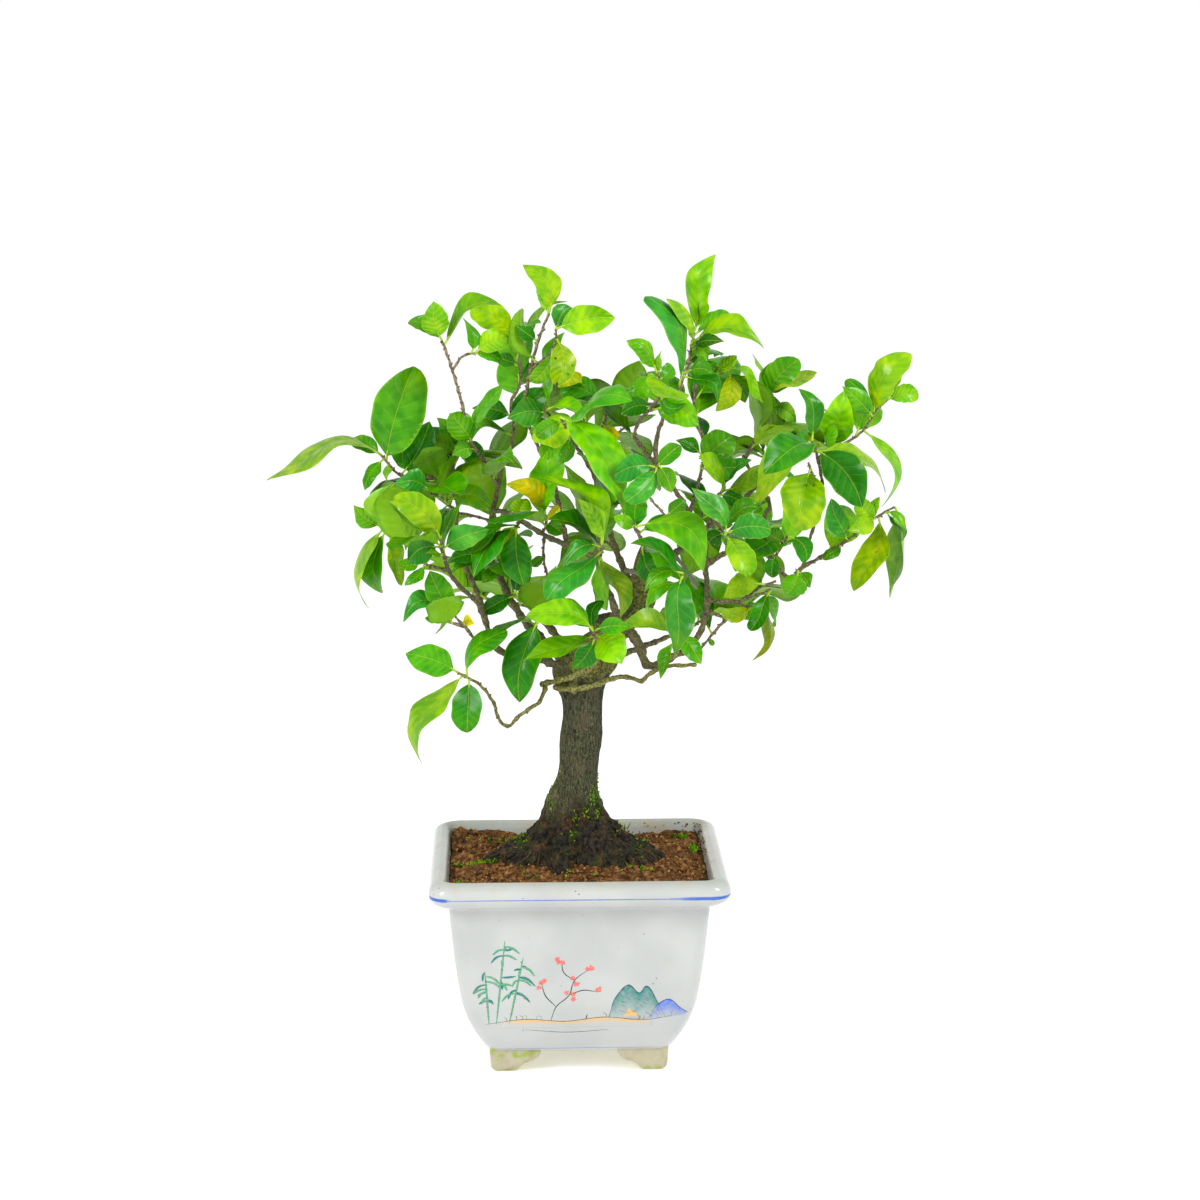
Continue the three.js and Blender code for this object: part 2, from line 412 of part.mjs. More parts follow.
// The crown's outline and the gaps in it, as seen. Spare leaves stay inside the outline and
// clear of the gaps, each of which is a circle: middle (across, up) and radius.
const CROWN_OUTLINE = [
  [-96, 245], [-120, 262], [-122, 300], [-118, 330], [-128, 350], [-90, 385], [-78, 425], [-45, 424],
  [-28, 444], [-5, 428], [22, 416], [36, 404], [60, 430], [76, 446], [100, 402], [128, 390], [150, 378],
  [180, 396], [184, 375], [162, 352], [174, 330], [186, 300], [176, 262], [160, 268], [130, 268],
  [112, 250], [96, 238], [66, 232], [30, 240], [-20, 236], [-60, 240],
];
const SKY_GAPS = [
  [-52, 226, 8], [-92, 240, 7], [-93, 272, 5], [-46, 262, 6], [-22, 281, 6], [-25, 268, 4],
  [-19, 292, 5], [-52, 318, 4], [-27, 330, 3], [3, 266, 4], [30, 262, 3], [76, 278, 5],
  [84, 274, 5], [138, 272, 11], [143, 262, 12], [128, 318, 2], [132, 298, 4], [120, 372, 8],
  [145, 335, 3], [154, 340, 6], [4, 395, 12], [16, 394, 10], [30, 412, 9], [98, 386, 5],
  [80, 362, 6], [92, 360, 6], [-100, 362, 8], [-108, 372, 10], [164, 335, 5], [118, 280, 3],
  [60, 245, 3], [84, 238, 8], [122, 255, 9], [-52, 376, 5], [-52, 410, 5],
];

// Seeded random numbers from 0 to 1
function randomSource(start) {
  let state = start;
  return () => {
    state = (state * 16807) % 2147483647;
    return state / 2147483647;
  };
}

// The true place of a point that is given as it is seen
function placeSeen([across, up, depth]) {
  const reach = 1 - depth / EYE.y;
  return new THREE.Vector3(EYE.x + (across - EYE.x) * reach, depth, EYE.z + (up - EYE.z) * reach);
}

// How a true place is seen: across and up
function seenPlace(point) {
  const reach = 1 - point.y / EYE.y;
  return [EYE.x + (point.x - EYE.x) / reach, EYE.z + (point.z - EYE.z) / reach];
}

// A solid from a list of points and a list of triangles, with its faces turned outwards
function solidFrom(points, triangles) {
  let sixVolumes = 0;
  for (const [a, b, c] of triangles) {
    sixVolumes += points[a].dot(new THREE.Vector3().crossVectors(points[b], points[c]));
  }
  const faces = sixVolumes < 0 ? triangles.map(([a, b, c]) => [a, c, b]) : triangles;
  return new wasm.Manifold(new wasm.Mesh({
    numProp: 3,
    vertProperties: new Float32Array(points.flatMap((point) => point.toArray())),
    triVerts: new Uint32Array(faces.flat()),
  }));
}

// A solid that joins a row of closed rings, with a point in the middle of each end
function loft(rings, startPoint, endPoint) {
  const sides = rings[0].length;
  const points = [startPoint, endPoint, ...rings.flat()];
  const triangles = [];
  for (let side = 0; side < sides; side++) {
    const next = (side + 1) % sides;
    const last = 2 + (rings.length - 1) * sides;
    triangles.push([0, 2 + next, 2 + side]);
    triangles.push([1, last + side, last + next]);
    for (let ring = 0; ring < rings.length - 1; ring++) {
      const low = 2 + ring * sides;
      const high = low + sides;
      triangles.push([low + side, low + next, high + next]);
      triangles.push([low + side, high + next, high + side]);
    }
  }
  return solidFrom(points, triangles);
}

// A round, tapering branch along a route, with rounded ends. grow makes it fatter all over.
function branch({ size, route }, sides, grow = 0) {
  const middles = route.map(placeSeen);
  const rings = [];
  let across = new THREE.Vector3(0.3, 1, 0.2);
  middles.forEach((middle, index) => {
    const before = middles[Math.max(index - 1, 0)];
    const after = middles[Math.min(index + 1, middles.length - 1)];
    const along = new THREE.Vector3().subVectors(after, before).normalize();
    across.addScaledVector(along, -across.dot(along)).normalize();
    const beside = new THREE.Vector3().crossVectors(along, across);
    const radius = THREE.MathUtils.lerp(size[0], size[1], index / (middles.length - 1)) + grow;
    const ring = [];
    for (let side = 0; side < sides; side++) {
      const turn = (side / sides) * 2 * Math.PI;
      ring.push(middle.clone()
        .addScaledVector(across, radius * Math.cos(turn))
        .addScaledVector(beside, radius * Math.sin(turn)));
    }
    rings.push(ring);
  });
  const capped = (end, inner, radius) => end.clone()
    .addScaledVector(new THREE.Vector3().subVectors(end, inner).normalize(), radius * 0.6);
  const start = capped(middles[0], middles[1], size[0] + grow);
  const end = capped(middles.at(-1), middles.at(-2), size[1] + grow);
  return loft(rings, start, end);
}

// The places on a spray's twigs where leaves can grow, a little way apart
function budPlaces(twigs) {
  const buds = [];
  for (const { route } of twigs) {
    for (let index = 1; index < route.length; index++) {
      const [from, to] = [route[index - 1], route[index]];
      const run = Math.hypot(...to.map((value, axis) => value - from[axis]));
      const steps = Math.ceil(run / LEAF_SPACING);
      const along = new THREE.Vector3().subVectors(placeSeen(to), placeSeen(from)).normalize();
      for (let step = 1; step <= steps; step++) {
        const spot = from.map((value, axis) => value + ((to[axis] - value) * step) / steps);
        buds.push({ spot, along, free: true });
      }
    }
  }
  return buds;
}

// The free bud that looks nearest to a given place. It isn't free any more after this.
function takeBud(buds, across, up) {
  let best = null;
  let bestDistance = Infinity;
  for (const bud of buds.filter(({ free }) => free)) {
    const distance = Math.hypot(bud.spot[0] - across, bud.spot[1] - up);
    if (distance < bestDistance - 1e-6) {
      bestDistance = distance;
      best = bud;
    }
  }
  best.free = false;
  return best;
}

// A leaf that is given as it is seen. It is turned until it looks as wide as it should, with
// its upper face to the sky.
function leafAsSeen({ spot }, [, , tipAcross, tipUp, wide, bow, lean], slide) {
  const root = placeSeen(spot);
  const tip = placeSeen([tipAcross, tipUp, spot[2] + lean + slide]);
  const axis = new THREE.Vector3().subVectors(tip, root);
  const length = axis.length();
  axis.normalize();
  const view = new THREE.Vector3().subVectors(root, EYE).normalize();
  const left = new THREE.Vector3().crossVectors(axis, view).normalize();
  const face = new THREE.Vector3().crossVectors(axis, left);
  const width = Math.max(wide, LEAF_SLENDERNESS * length);
  const turn = Math.acos(wide / width) * (left.z > 0 ? -1 : 1);
  const side = left.clone().multiplyScalar(Math.cos(turn)).addScaledVector(face, Math.sin(turn));
  const normal = face.clone().multiplyScalar(Math.cos(turn)).addScaledVector(left, -Math.sin(turn));
  return { root, axis, length, half: width / 2, side, normal, bend: left.multiplyScalar(bow) };
}

// A spare leaf that grows from a bud by the plant's own rule
function leafByRule({ spot, along }, random, count) {
  const root = placeSeen(spot);
  const first = new THREE.Vector3().crossVectors(along, new THREE.Vector3(0.2, 0.9, 0.3)).normalize();
  const second = new THREE.Vector3().crossVectors(along, first);
  const turn = count * GOLDEN_TURN;
  const axis = along.clone().multiplyScalar(0.65)
    .addScaledVector(first, Math.cos(turn))
    .addScaledVector(second, Math.sin(turn))
    .addScaledVector(UP, 0.1).normalize();
  const length = THREE.MathUtils.lerp(...SPARE_LENGTH, random());
  const outward = new THREE.Vector3(root.x, root.y, 0).normalize();
  const normal = outward.multiplyScalar(0.5).add(UP);
  normal.addScaledVector(axis, -normal.dot(axis)).normalize();
  const side = new THREE.Vector3().crossVectors(normal, axis);
  const width = length * THREE.MathUtils.lerp(...SPARE_WIDTH, random());
  return { root, axis, length, half: width / 2, side, normal, bend: normal.clone().multiplyScalar(2) };
}

// A point of a leaf: along from root to tip, across from -1 to 1, and raised above its face
function leafPoint(leaf, along, across, halfWidth, raised) {
  const arch = 4 * along * (1 - along);
  return leaf.root.clone()
    .addScaledVector(leaf.axis, leaf.length * along)
    .addScaledVector(leaf.bend, arch)
    .addScaledVector(leaf.normal, leaf.length * LEAF_ARCH * arch)
    .addScaledVector(leaf.side, across * halfWidth)
    .addScaledVector(leaf.normal, Math.abs(across) * halfWidth * LEAF_FOLD + raised);
}

// Where the blade's cross sections lie along the leaf, and how wide each is
const BLADE = [[0.3, 0.84], [0.56, 1], [0.82, 0.56]];
const SHORT_BLADE = [[0.34, 0.9], [0.72, 0.8]];

// The leaf's solid: a blade with raised margins and a keel under its midrib
function leafSolid(leaf, grow = 0) {
  const rings = (leaf.length < SHORT_LEAF ? SHORT_BLADE : BLADE).map(([along, share]) => {
    const half = leaf.half * share + 2 * grow;
    return [
      leafPoint(leaf, along, 1, half, grow),
      leafPoint(leaf, along, -1, half, grow),
      leafPoint(leaf, along, 0, half, -LEAF_KEEL - 1.5 * grow),
    ];
  });
  return loft(rings, leafPoint(leaf, 0, 0, 0, 0), leafPoint(leaf, 1 + grow / leaf.length, 0, 0, 0));
}

// The leaf as a thin sheet, for finding out what it would cross: margins, midrib and triangles
function leafSheet(leaf) {
  const rows = [[0.15, 0.45], [0.4, 0.95], [0.7, 0.85], [1, 0]].map(([along, share]) =>
    [1, 0, -1].map((across) => leafPoint(leaf, along, across, leaf.half * share, 0)));
  const lines = [];
  const triangles = [];
  for (let row = 0; row < 3; row++) {
    const [near, far] = [rows[row], rows[row + 1]];
    for (let column = 0; column < 3; column++) {
      lines.push([near[column], far[column]]);
    }
    for (let column = 0; column < 2; column++) {
      triangles.push([near[column], near[column + 1], far[column + 1]]);
      triangles.push([near[column], far[column + 1], far[column]]);
    }
  }
  const middle = leafPoint(leaf, 0.55, 0, 0, 0);
  return { rows, lines, triangles, middle, reach: leaf.length * 0.6 };
}

// Whether a line between two points passes through a triangle
function passesThrough([start, end], [a, b, c]) {
  const run = new THREE.Vector3().subVectors(end, start);
  const edge1 = new THREE.Vector3().subVectors(b, a);
  const edge2 = new THREE.Vector3().subVectors(c, a);
  const cross = new THREE.Vector3().crossVectors(run, edge2);
  const scale = edge1.dot(cross);
  if (Math.abs(scale) < 1e-9) return false;
  const offset = new THREE.Vector3().subVectors(start, a);
  const u = offset.dot(cross) / scale;
  const cross2 = new THREE.Vector3().crossVectors(offset, edge1);
  const v = run.dot(cross2) / scale;
  const along = edge2.dot(cross2) / scale;
  return u >= 0 && v >= 0 && u + v <= 1 && along >= 0 && along <= 1;
}

// Whether two leaves cross
function leavesCross(one, other) {
  if (one.middle.distanceTo(other.middle) > one.reach + other.reach) return false;
  return one.lines.some((line) => other.triangles.some((triangle) => passesThrough(line, triangle)))
    || other.lines.some((line) => one.triangles.some((triangle) => passesThrough(line, triangle)));
}

// Whether a leaf is clear of the leaves that are already placed and of all the wood
function isClear(sheet, placed, wood) {
  if (placed.some((other) => leavesCross(sheet, other))) return false;
  return !wood.some((line) => sheet.triangles.some((triangle) => passesThrough(line, triangle)));
}

// Whether a spare leaf keeps inside the crown's outline and out of the gaps in it
function keepsOutline(sheet) {
  return sheet.rows.flat().every((point) => {
    const [across, up] = seenPlace(point);
    if (SKY_GAPS.some(([x, y, radius]) => Math.hypot(across - x, up - y) < radius)) return false;
    let inside = false;
    CROWN_OUTLINE.forEach(([x1, y1], index) => {
      const [x2, y2] = CROWN_OUTLINE[(index + 1) % CROWN_OUTLINE.length];
      if (y1 > up !== y2 > up && across < x1 + ((up - y1) / (y2 - y1)) * (x2 - x1)) inside = !inside;
    });
    return inside;
  });
}

// The lines along the middles of branches
function middleLines(branches) {
  return branches.flatMap(({ route }) => route.slice(1).map((point, index) =>
    [placeSeen(route[index]), placeSeen(point)]));
}

// Place every leaf of the crown: first those given by hand, then the spare ones
function growLeaves() {
  const wood = middleLines([...Object.values(LIMBS), ...SPRAYS.flatMap((spray) => spray.twigs)]);
  const placed = [];
  const grown = SPRAYS.map(() => []);
  const buds = SPRAYS.map((spray) => budPlaces(spray.twigs));
  SPRAYS.forEach((spray, index) => {
    for (const row of spray.leaves) {
      const bud = takeBud(buds[index], row[0], row[1]);
      const choices = LEAF_SLIDES.map((slide) => {
        const leaf = leafAsSeen(bud, row, slide);
        return { leaf, sheet: leafSheet(leaf) };
      });
      const chosen = choices.find(({ sheet }) => isClear(sheet, placed, wood)) ?? choices[0];
      placed.push(chosen.sheet);
      grown[index].push(chosen.leaf);
    }
  });
  const random = randomSource(RANDOM_START);
  SPRAYS.forEach((spray, index) => {
    const free = buds[index].filter((bud) => bud.free).slice(2);
    let made = 0;
    for (let count = 0; count < spray.spare * SPARE_TRIES && made < spray.spare; count++) {
      const bud = free[Math.floor(random() * free.length)];
      const leaf = leafByRule(bud, random, count);
      const sheet = leafSheet(leaf);
      if (bud.free && keepsOutline(sheet) && isClear(sheet, placed, wood)) {
        bud.free = false;
        placed.push(sheet);
        grown[index].push(leaf);
        made += 1;
      }
    }
  });
  return grown;
}

// The largest body of a solid, without slivers
function largestBody(solid) {
  const bodies = solid.simplify(SLIVER).decompose();
  return bodies.reduce((best, body) => (body.volume() > best.volume() ? body : best));
}

// A rounded rectangle at one height
function roundedRing(halfLength, halfDepth, corner, height) {
  const ring = [];
  const middles = [[1, 1], [-1, 1], [-1, -1], [1, -1]];
  middles.forEach(([signX, signY], quarter) => {
    for (let step = 0; step <= CORNER_STEPS; step++) {
      const turn = (quarter + step / CORNER_STEPS) * 0.5 * Math.PI;
      ring.push(new THREE.Vector3(
        signX * (halfLength - corner) + corner * Math.cos(turn),
        signY * (halfDepth - corner) + corner * Math.sin(turn),
        height,
      ));
    }
  });
  return ring;
}

// Rings of the pot's shape from a side profile, drawn in by a gap. corner is the corner's
// radius at the rim, and it gets smaller downwards with the pot.
function potRings(profile, corner, gap = 0) {
  return profile.map(([halfLength, height]) => {
    const share = halfLength / (RIM_LENGTH / 2);
    const halfDepth = halfLength - (RIM_LENGTH - RIM_DEPTH) / 2;
    return roundedRing(halfLength - gap, halfDepth - gap, corner * share - gap, height);
  });
}

// A solid from a flat outline that is drawn out along Y
function drawnOut(outline, width) {
  const shape = new THREE.Shape(outline.map(([x, z]) => new THREE.Vector2(x, z)));
  const geometry = new THREE.ExtrudeGeometry(shape, { depth: width, bevelEnabled: false });
  geometry.rotateX(Math.PI / 2);
  geometry.translate(0, width / 2, 0);
  return solidFromGeometry(geometry);
}

// A solid from a three.js geometry
function solidFromGeometry(geometry) {
  const position = geometry.getAttribute("position");
  const keys = new Map();
  const points = [];
  const corners = [];
  for (let index = 0; index < position.count; index++) {
    const point = new THREE.Vector3().fromBufferAttribute(position, index);
    const key = point.toArray().map((value) => Math.round(value * 1e4)).join();
    if (!keys.has(key)) {
      keys.set(key, points.length);
      points.push(point);
    }
    corners.push(keys.get(key));
  }
  const order = geometry.index ? Array.from(geometry.index.array) : corners.map((_, index) => index);
  const triangles = [];
  for (let index = 0; index < order.length; index += 3) {
    triangles.push([corners[order[index]], corners[order[index + 1]], corners[order[index + 2]]]);
  }
  return solidFrom(points, triangles);
}

// One bracket foot at the corner to the right and back, mirrored to the other corners
function footSolid(signX, signY) {
  const outline = (outerFace, slimness) =>
    drawnOut(FOOT_PROFILE.map(([inward, z]) => [outerFace - inward * slimness, z]), RIM_LENGTH);
  const fromFront = outline(FOOT_SPAN / 2, 1);
  const fromSide = outline(FOOT_SPAN / 2 - FOOT_INSET, FOOT_SLIMNESS);
  return fromFront.intersect(fromSide.rotate([0, 0, 90])).scale([signX, signY, 1]);
}

// The pot: a bowl-curved box with a rolled rim, four feet and a drain hole. Its feet are cut
// off where they would stand out inside it.
function potSolid() {
  const rings = [...potRings(POT_SIDE, RIM_CORNER), ...potRings(POT_INSIDE, INNER_CORNER)];
  const floor = (height) => new THREE.Vector3(0, 0, height);
  const shell = loft(rings, floor(BODY_FLOOR), floor(INNER_FLOOR));
  const feet = [[1, 1], [-1, 1], [-1, -1], [1, -1]].map(([x, y]) => footSolid(x, y));
  const inside = potRings([...POT_INSIDE].reverse(), INNER_CORNER, SLIVER);
  const hollow = loft(inside, floor(INNER_FLOOR), floor(RIM_TOP));
  const drain = new THREE.CylinderGeometry(DRAIN_RADIUS, DRAIN_RADIUS, 3 * INNER_FLOOR, DRAIN_SIDES);
  drain.rotateX(Math.PI / 2);
  return wasm.Manifold.union([shell, ...feet]).subtract(hollow).subtract(solidFromGeometry(drain))
    .simplify(SLIVER);
}

// An upright box with its base at a given height
function boxSolid(x, y, base, sideX, sideY, height) {
  return solidFromGeometry(new THREE.BoxGeometry(sideX, sideY, height).translate(x, y, base + height / 2));
}

// The drain mesh: a thin plate with square holes
function drainMeshSolid() {
  const base = INNER_FLOOR + TOUCH_GAP;
  const pitch = MESH_HOLE + MESH_BAR;
  const places = [-1, 0, 1].map((share) => share * pitch);
  const holes = places.flatMap((x) => places.map((y) =>
    boxSolid(x, y, base - MESH_THICKNESS, MESH_HOLE, MESH_HOLE, 3 * MESH_THICKNESS)));
  return boxSolid(0, 0, base, MESH_SIDE, MESH_SIDE, MESH_THICKNESS).subtract(wasm.Manifold.union(holes));
}

// The trunk, its surface roots and the main limbs. grow makes all of it fatter.
function trunkSolid(grow = 0) {
  const rings = TRUNK.map(([height, left, right, halfDepth, depth, folds]) => {
    const ring = [];
    const flat = placeSeen([(left + right) / 2, height, depth]);
    for (let side = 0; side < TRUNK_SIDES; side++) {
      const turn = (side / TRUNK_SIDES) * 2 * Math.PI;
      const fold = 1 + folds * (0.6 * Math.cos(7 * turn + 0.6) + 0.4 * Math.cos(11 * turn + 2));
      ring.push(new THREE.Vector3(
        flat.x + ((right - left) / 2 * fold + grow) * Math.cos(turn),
        flat.y + (halfDepth * fold + grow) * Math.sin(turn),
        height,
      ));
    }
    return ring;
  });
  const middle = (ring, lift) => ring.reduce((sum, point) => sum.add(point), new THREE.Vector3())
    .divideScalar(TRUNK_SIDES).add(new THREE.Vector3(0, 0, lift));
  const stem = loft(rings, middle(rings[0], -1 - grow), middle(rings.at(-1), 1 + grow));
  const roots = ROOTS.map(([degrees, reach]) => {
    const turn = THREE.MathUtils.degToRad(degrees);
    const route = ROOT_SLOPE.map(([share, out, height]) => {
      const distance = reach * share + out;
      return [distance * Math.cos(turn), height, distance * ROOT_SPREAD * Math.sin(turn)];
    });
    return branch({ size: ROOT_SIZE, route }, ROOT_SIDES, grow);
  });
  const limbs = Object.values(LIMBS).map((limb) => branch(limb, LIMB_SIDES, grow));
  return wasm.Manifold.union([stem, ...roots, ...limbs]);
}

// The soil: it fills the pot, with holes for the root base and the drain mesh
function soilSolid(trunkGrown) {
  const base = INNER_FLOOR + TOUCH_GAP;
  const below = [...POT_INSIDE].reverse().filter(([, height]) => height < SOIL_EDGE);
  const sides = potRings(below, INNER_CORNER, TOUCH_GAP);
  sides[0].forEach((point) => point.setZ(base));
  const mound = SOIL_MOUND.map(([share, rise]) => roundedRing(
    SOIL_HALF_LENGTH * share, SOIL_HALF_DEPTH * share, SOIL_CORNER * share,
    SOIL_EDGE + rise * (SOIL_CROWN - SOIL_EDGE)));
  const middle = (height) => new THREE.Vector3(0, 0, height);
  const bed = loft([...sides, ...mound], middle(base), middle(SOIL_CROWN));
  const room = MESH_SIDE + 2 * TOUCH_GAP;
  const pocket = boxSolid(0, 0, INNER_FLOOR, room, room, MESH_THICKNESS + 2 * TOUCH_GAP);
  return largestBody(bed.subtract(pocket).subtract(trunkGrown));
}

// A mesh with its own material from a finished solid
function meshFrom(solid, name, color, roughness) {
  const { vertProperties, triVerts, numProp } = solid.getMesh();
  const geometry = new THREE.BufferGeometry();
  const positions = new Float32Array((vertProperties.length / numProp) * 3);
  for (let index = 0; index < positions.length / 3; index++) {
    positions.set(vertProperties.subarray(index * numProp, index * numProp + 3), index * 3);
  }
  geometry.setAttribute("position", new THREE.BufferAttribute(positions, 3));
  geometry.setIndex(new THREE.BufferAttribute(new Uint32Array(triVerts), 1));
  geometry.computeVertexNormals();
  const mesh = new THREE.Mesh(geometry, new THREE.MeshStandardMaterial({ color, roughness, metalness: 0 }));
  mesh.name = name;
  return mesh;
}

// The whole plant
function buildBonsai() {
  const bonsai = new THREE.Group();
  const trunk = largestBody(trunkSolid());
  const trunkGrown = trunkSolid(TOUCH_GAP);
  bonsai.add(meshFrom(potSolid(), "pot", 0xdfe5e2, 0.25));
  bonsai.add(meshFrom(soilSolid(trunkGrown), "soil", 0x6b4a36, 0.95));
  bonsai.add(meshFrom(drainMeshSolid(), "drain_mesh", 0x2c2f2e, 0.7));
  bonsai.add(meshFrom(trunk, "trunk", 0x4a4436, 0.9));
  const grown = growLeaves();
  let taken = trunkGrown;
  SPRAYS.forEach((spray, index) => {
    const twigs = spray.twigs.map((twig) => branch(twig, TWIG_SIDES));
    const leaves = grown[index].map((leaf) => leafSolid(leaf));
    const whole = wasm.Manifold.union([...twigs, ...leaves]);
    bonsai.add(meshFrom(largestBody(whole.subtract(taken)), spray.name, 0x63962a, 0.5));
    const fatTwigs = spray.twigs.map((twig) => branch(twig, TWIG_SIDES, TOUCH_GAP));
    const fatLeaves = grown[index].map((leaf) => leafSolid(leaf, TOUCH_GAP));
    taken = wasm.Manifold.union([taken, ...fatTwigs, ...fatLeaves]);
  });
  const box = new THREE.Box3().setFromObject(bonsai);
  const middle = box.getCenter(new THREE.Vector3());
  bonsai.position.set(-middle.x, -middle.y, -box.min.z);
  return bonsai;
}

export default buildBonsai();
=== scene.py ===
# Looks of the persimmon bonsai in its pot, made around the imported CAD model.
# The tables are in millimetres, measured from the middle of the pot on the surface it stands
# on, with +Z up and +Y away from the viewer. Meshes are made in metres, where the CAD is.

import math
from dataclasses import dataclass, field

import bpy
import numpy as np
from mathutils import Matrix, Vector, kdtree, noise


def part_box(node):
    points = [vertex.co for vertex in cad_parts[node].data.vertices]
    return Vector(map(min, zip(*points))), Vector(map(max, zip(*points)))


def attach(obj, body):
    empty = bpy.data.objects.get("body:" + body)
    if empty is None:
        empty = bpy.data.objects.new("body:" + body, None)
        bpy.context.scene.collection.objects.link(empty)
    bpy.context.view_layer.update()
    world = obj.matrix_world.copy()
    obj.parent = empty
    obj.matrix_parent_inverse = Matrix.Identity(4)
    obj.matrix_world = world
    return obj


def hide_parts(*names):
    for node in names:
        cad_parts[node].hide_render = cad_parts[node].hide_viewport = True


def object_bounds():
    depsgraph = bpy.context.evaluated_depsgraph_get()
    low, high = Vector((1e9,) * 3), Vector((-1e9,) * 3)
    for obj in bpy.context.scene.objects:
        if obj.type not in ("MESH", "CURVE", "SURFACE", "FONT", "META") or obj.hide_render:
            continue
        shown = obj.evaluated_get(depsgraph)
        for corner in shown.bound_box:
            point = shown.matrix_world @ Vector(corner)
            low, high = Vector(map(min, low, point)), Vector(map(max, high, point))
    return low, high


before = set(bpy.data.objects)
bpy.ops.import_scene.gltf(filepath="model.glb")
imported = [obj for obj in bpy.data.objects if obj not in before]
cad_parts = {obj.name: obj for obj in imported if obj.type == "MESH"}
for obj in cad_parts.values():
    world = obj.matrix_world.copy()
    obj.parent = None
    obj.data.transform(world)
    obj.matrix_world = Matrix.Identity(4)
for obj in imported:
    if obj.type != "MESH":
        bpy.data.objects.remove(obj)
cad_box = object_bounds()
pot_low, pot_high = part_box("pot")
POT_PLACE = np.array([(pot_low.x + pot_high.x) / 2, (pot_low.y + pot_high.y) / 2, 0.0])
MM = 0.001
TURN = 2 * math.pi

# Driving dimensions, as in the CAD source
RIM_LENGTH = 165
RIM_DEPTH = 135
RIM_CORNER = 11
INNER_CORNER = 6
RIM_TOP = 119
BODY_FLOOR = 12.5
INNER_FLOOR = 19
FOOT_SPAN = 98.5
FOOT_INSET = 15
FOOT_SLIMNESS = 0.85
DRAIN_RADIUS = 8
SOIL_EDGE = 111.5
SOIL_CROWN = 117
SOIL_HALF_LENGTH = 71.3
SOIL_HALF_DEPTH = 56.3
SOIL_CORNER = 5
ROOT_SIZE = (5.5, 1.8)
ROOT_SPREAD = 0.8
ROOT_TOP = 137

# How leaves grow, as in the CAD source
LEAF_SPACING = 1.6
LEAF_SLENDERNESS = 0.42
LEAF_FOLD = 0.13
LEAF_ARCH = 0.09
LEAF_SLIDES = (0, -7, 7, -14, 14, -21, 21, -28, 28)
SPARE_LENGTH = (32, 50)
SPARE_WIDTH = (0.46, 0.56)
SPARE_TRIES = 8
GOLDEN_TURN = 2.39996
RANDOM_START = 20261

# How many more leaves than in the CAD grow on each spray, and how far behind the upright plane
EXTRA_LEAVES = 2
EXTRA_BEHIND = 6

# Places on the tree are given as they are seen from EYE: how far across and how far up they
# appear on the upright plane through the trunk, and how far behind that plane they lie.
EYE = np.array([-37.0, -1499.0, 568.0])
UP = np.array([0.0, 0.0, 1.0])

# The photograph's camera stands at EYE: its lens and sensor, and how far it is turned down and
# to the right, in degrees
LENS = 83.16
SENSOR = 36
LOOKS_DOWN = 11.53
LOOKS_RIGHT = 1.90

# Heights on the trunk: where its fork begins and its limbs become a piece of their own, how
# far up the roots' rough bark and their black reach, and between which heights moss tufts grow
FORK = 210
LIMBS_FROM = 205
ROUGH_UP_TO = 150
BLACK_UP_TO = 145
TUFTS_FROM, TUFTS_UP_TO = 114, 172

# Living wood is a little slimmer than the CAD's plain branches
TWIG_THINNESS = 0.7
LIMB_THINNESS = 0.78

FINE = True
WOOD_VOXEL = 0.73 if FINE else 1.2
FOOT_VOXEL = 0.8
THICK_STRANDS = 120 if FINE else 60
THIN_STRANDS = 180 if FINE else 60
TRUNK_TUFTS = 340 if FINE else 80
SOIL_RINGS = 76 if FINE else 30
SOIL_RUNS = 70 if FINE else 24
LEAF_STATIONS = 22
LEAF_COLUMNS = 10

# The pot's outer side from the foot upwards, and its inner side from the rim downwards: half
# length at each height
POT_SIDE = [
    (48.4, BODY_FLOOR), (51, 14), (54, 18.4), (57.8, 25), (61.6, 33.5), (64.7, 43.5), (67, 57),
    (68.9, 72), (70.4, 87), (71.3, 97), (71.7, 103), (74.8, 103.3), (77.8, 104.6), (80.9, 107),
    (RIM_LENGTH / 2, 110.7), (81.8, 114.6), (79.6, 117.8), (76.2, RIM_TOP),
]
POT_INSIDE = [
    (73, 117.4), (71.8, 110), (66.6, 97), (63.4, 73.5), (60.4, 49.5), (56.4, 34), (51, 24),
    (46, INNER_FLOOR),
]

# The lower edge of a bracket foot, worn round: distance in from the foot's outer face, and height
FOOT_EDGE = [
    (0, 3.2), (0.6, 1.7), (1.6, 0.7), (3.2, 0), (14.5, 0), (15.6, 2.6), (18.8, 5.2), (23.6, 6.6),
    (27, 9.4), (28.6, 13),
]

# The soil's surface from its edge to its middle: share of the edge's size, and share of the rise
SOIL_MOUND = [(1, 0), (0.78, 0.3), (0.55, 0.62), (0.32, 0.88), (0, 1)]

